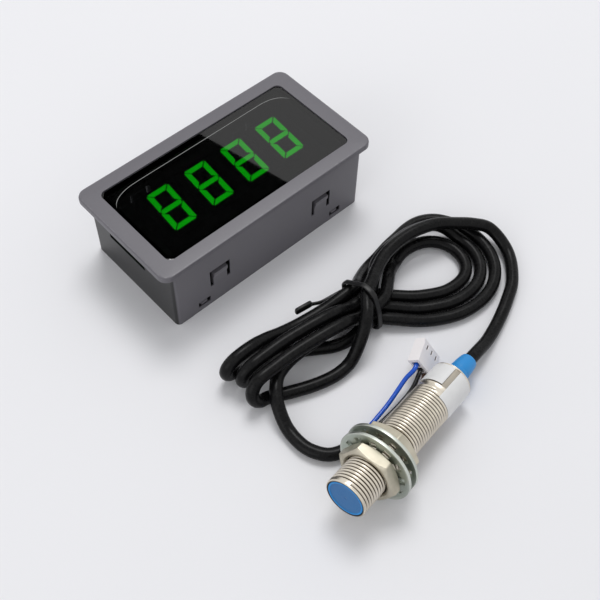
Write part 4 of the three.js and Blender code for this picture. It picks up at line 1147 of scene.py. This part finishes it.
def addPrism(made, outline, low, high, material):
    rings = [[made.verts.new(Vector((x, y, z)) * mm) for x, y in outline] for z in (low, high)]
    faces = [made.faces.new(ring) for ring in rings]
    for index in range(len(outline)):
        after = (index + 1) % len(outline)
        faces.append(made.faces.new((rings[0][index], rings[0][after], rings[1][after], rings[1][index])))
    for face in faces:
        face.material_index = material


def digitPiece(number):
    made = bmesh.new()
    middle = (number - 2.5) * display["pitch"]
    length, width, thickness = display["plate"]
    plate = [(middle + x * length / 2, y * width / 2) for x, y in ((-1, -1), (1, -1), (1, 1), (-1, 1))]
    addPrism(made, plate, display["plateTop"] - thickness, display["plateTop"], 0)
    lean = tan(radians(display["slant"]))
    for outline in digitBars():
        bar = [(middle + x + y * lean, y + display["digitPlace"]) for x, y in outline]
        addPrism(made, bar, display["plateTop"] - display["barSink"], display["barTop"], 1)
    bmesh.ops.recalc_face_normals(made, faces=made.faces)
    piece = meshFrom(f"digit{number}", made)
    dressed(piece, displayMaterial, stands=(f"digit_{number}",))
    piece.data.materials.append(litMaterial)
    return roundEdges(piece, display["barEdge"])


displayMaterial, litMaterial = finishOf("displayBlack", display), finishOf("litSegment", litSegment)
glow = {"Emission Color": litSegment["glow"], "Emission Strength": litSegment["glowStrength"]}
fed(litMaterial.node_tree, litMaterial.node_tree.nodes["Principled BSDF"], glow)
dressed(softened("display_module", display["edge"], 3), displayMaterial)
for number in range(1, 5):
    digitPiece(number)

# Board and the parts on it

header = {
    "color": (230, 226, 214), "second": (220, 215, 202), "grain": 2600.0, "rough": (0.4, 0.55),
    "bump": 0.15, "relief": 0.02,
}
can = {
    "color": (190, 192, 196), "second": (176, 178, 182), "grain": 3000.0, "rough": (0.25, 0.4),
    "bump": 0.15, "relief": 0.01, "metal": 0.9,
}
blackParts = ("pin_strip_front", "pin_strip_back", "microcontroller", "regulator")
dressNodes({"main_board": 0.06}, boardMaterial)
dressNodes({node: 0.12 for node in blackParts}, epoxyMaterial)
dressNodes({"capacitor": 0.1}, finishOf("canMetal", can))
dressNodes({"sensor_header": 0.1, "power_header": 0.1}, finishOf("headerNylon", header))
print("meter done")

# Floor, backdrop and light

studio = {
    "floorSize": 6.0, "floorDrop": 0.00005,
    "floor": {
        "color": (236, 236, 239), "second": (234, 234, 237), "patch": 3.0, "grain": 900.0, "rough": (0.6, 0.7),
        "bump": 0.05, "relief": 0.02, "specular": 0.2,
    },
    "sky": (0.985, 0.99, 1, 1), "ambient": 0.58,
    "lamps": {
        # name: place, aim, size, watts
        "keySoftbox": ((0.4, 0.38, 1.35), (0, -0.03, 0), 0.6, 9.2),
        "leftSoftbox": ((-1.2, -0.1, 0.45), (0, -0.03, 0.02), 0.9, 3),
    },
    "cardHeight": 0.6,
    "card": [(0.14, 0.52), (0.3195, 0.52), (0.3637, 0.31), (0.14, 0.31)],
    "cardLook": {"color": (3, 3, 3), "second": (4, 4, 4), "grain": 500.0, "rough": (0.9, 1.0), "specular": 0.0},
}


# A single flat face that only backs the part or shows in its gloss.
def stagePiece(name, corners, height, material):
    mesh = bpy.data.meshes.new(name)
    mesh.from_pydata([(x, y, height) for x, y in corners], [], [(0, 1, 2, 3)])
    mesh.materials.append(material)
    piece = linked(name, mesh)
    return piece


# White for what sees it directly or mirrored, and a plain level of light for the rest.
def makeWorld():
    world = bpy.data.worlds.new("studioWorld")
    scene.world = world
    world.use_nodes = True
    tree = world.node_tree
    tree.nodes.clear()
    light = addNode(tree, "Background", {"Color": studio["sky"], "Strength": studio["ambient"]})
    seen = addNode(tree, "Background", {"Color": (1, 1, 1, 1), "Strength": 1.0})
    path = addNode(tree, "LightPath").outputs
    direct = maths(tree, "MAXIMUM", path["Is Camera Ray"], path["Is Glossy Ray"])
    direct = maths(tree, "MAXIMUM", direct, path["Is Transmission Ray"])
    mix = addNode(tree, "MixShader", {0: direct, 1: light.outputs[0], 2: seen.outputs[0]})
    addNode(tree, "OutputWorld", {"Surface": mix.outputs[0]})


def makeLamps():
    for name, (place, aim, size, watts) in studio["lamps"].items():
        data = bpy.data.lights.new(name, "AREA")
        data.shape = "SQUARE"
        data.size = size
        data.energy = watts
        lamp = linked(name, data)
        lamp.location = place
        lamp.rotation_euler = (Vector(aim) - Vector(place)).to_track_quat("-Z", "Y").to_euler()


half = studio["floorSize"] / 2
floorCorners = [(-half, -half), (half, -half), (half, half), (-half, half)]
floor = stagePiece("benchTop", floorCorners, 0, finishOf("paleBench", studio["floor"]))
floor.location.z = -studio["floorDrop"]
makeWorld()
makeLamps()
# A black card that shows only in the window's gloss.
card = stagePiece("blackCard", studio["card"], studio["cardHeight"], finishOf("blackCard", studio["cardLook"]))
card.visible_camera = False
card.visible_diffuse = False
card.visible_transmission = False
card.visible_shadow = False
scene.view_settings.view_transform = "Standard"
print("studio done")
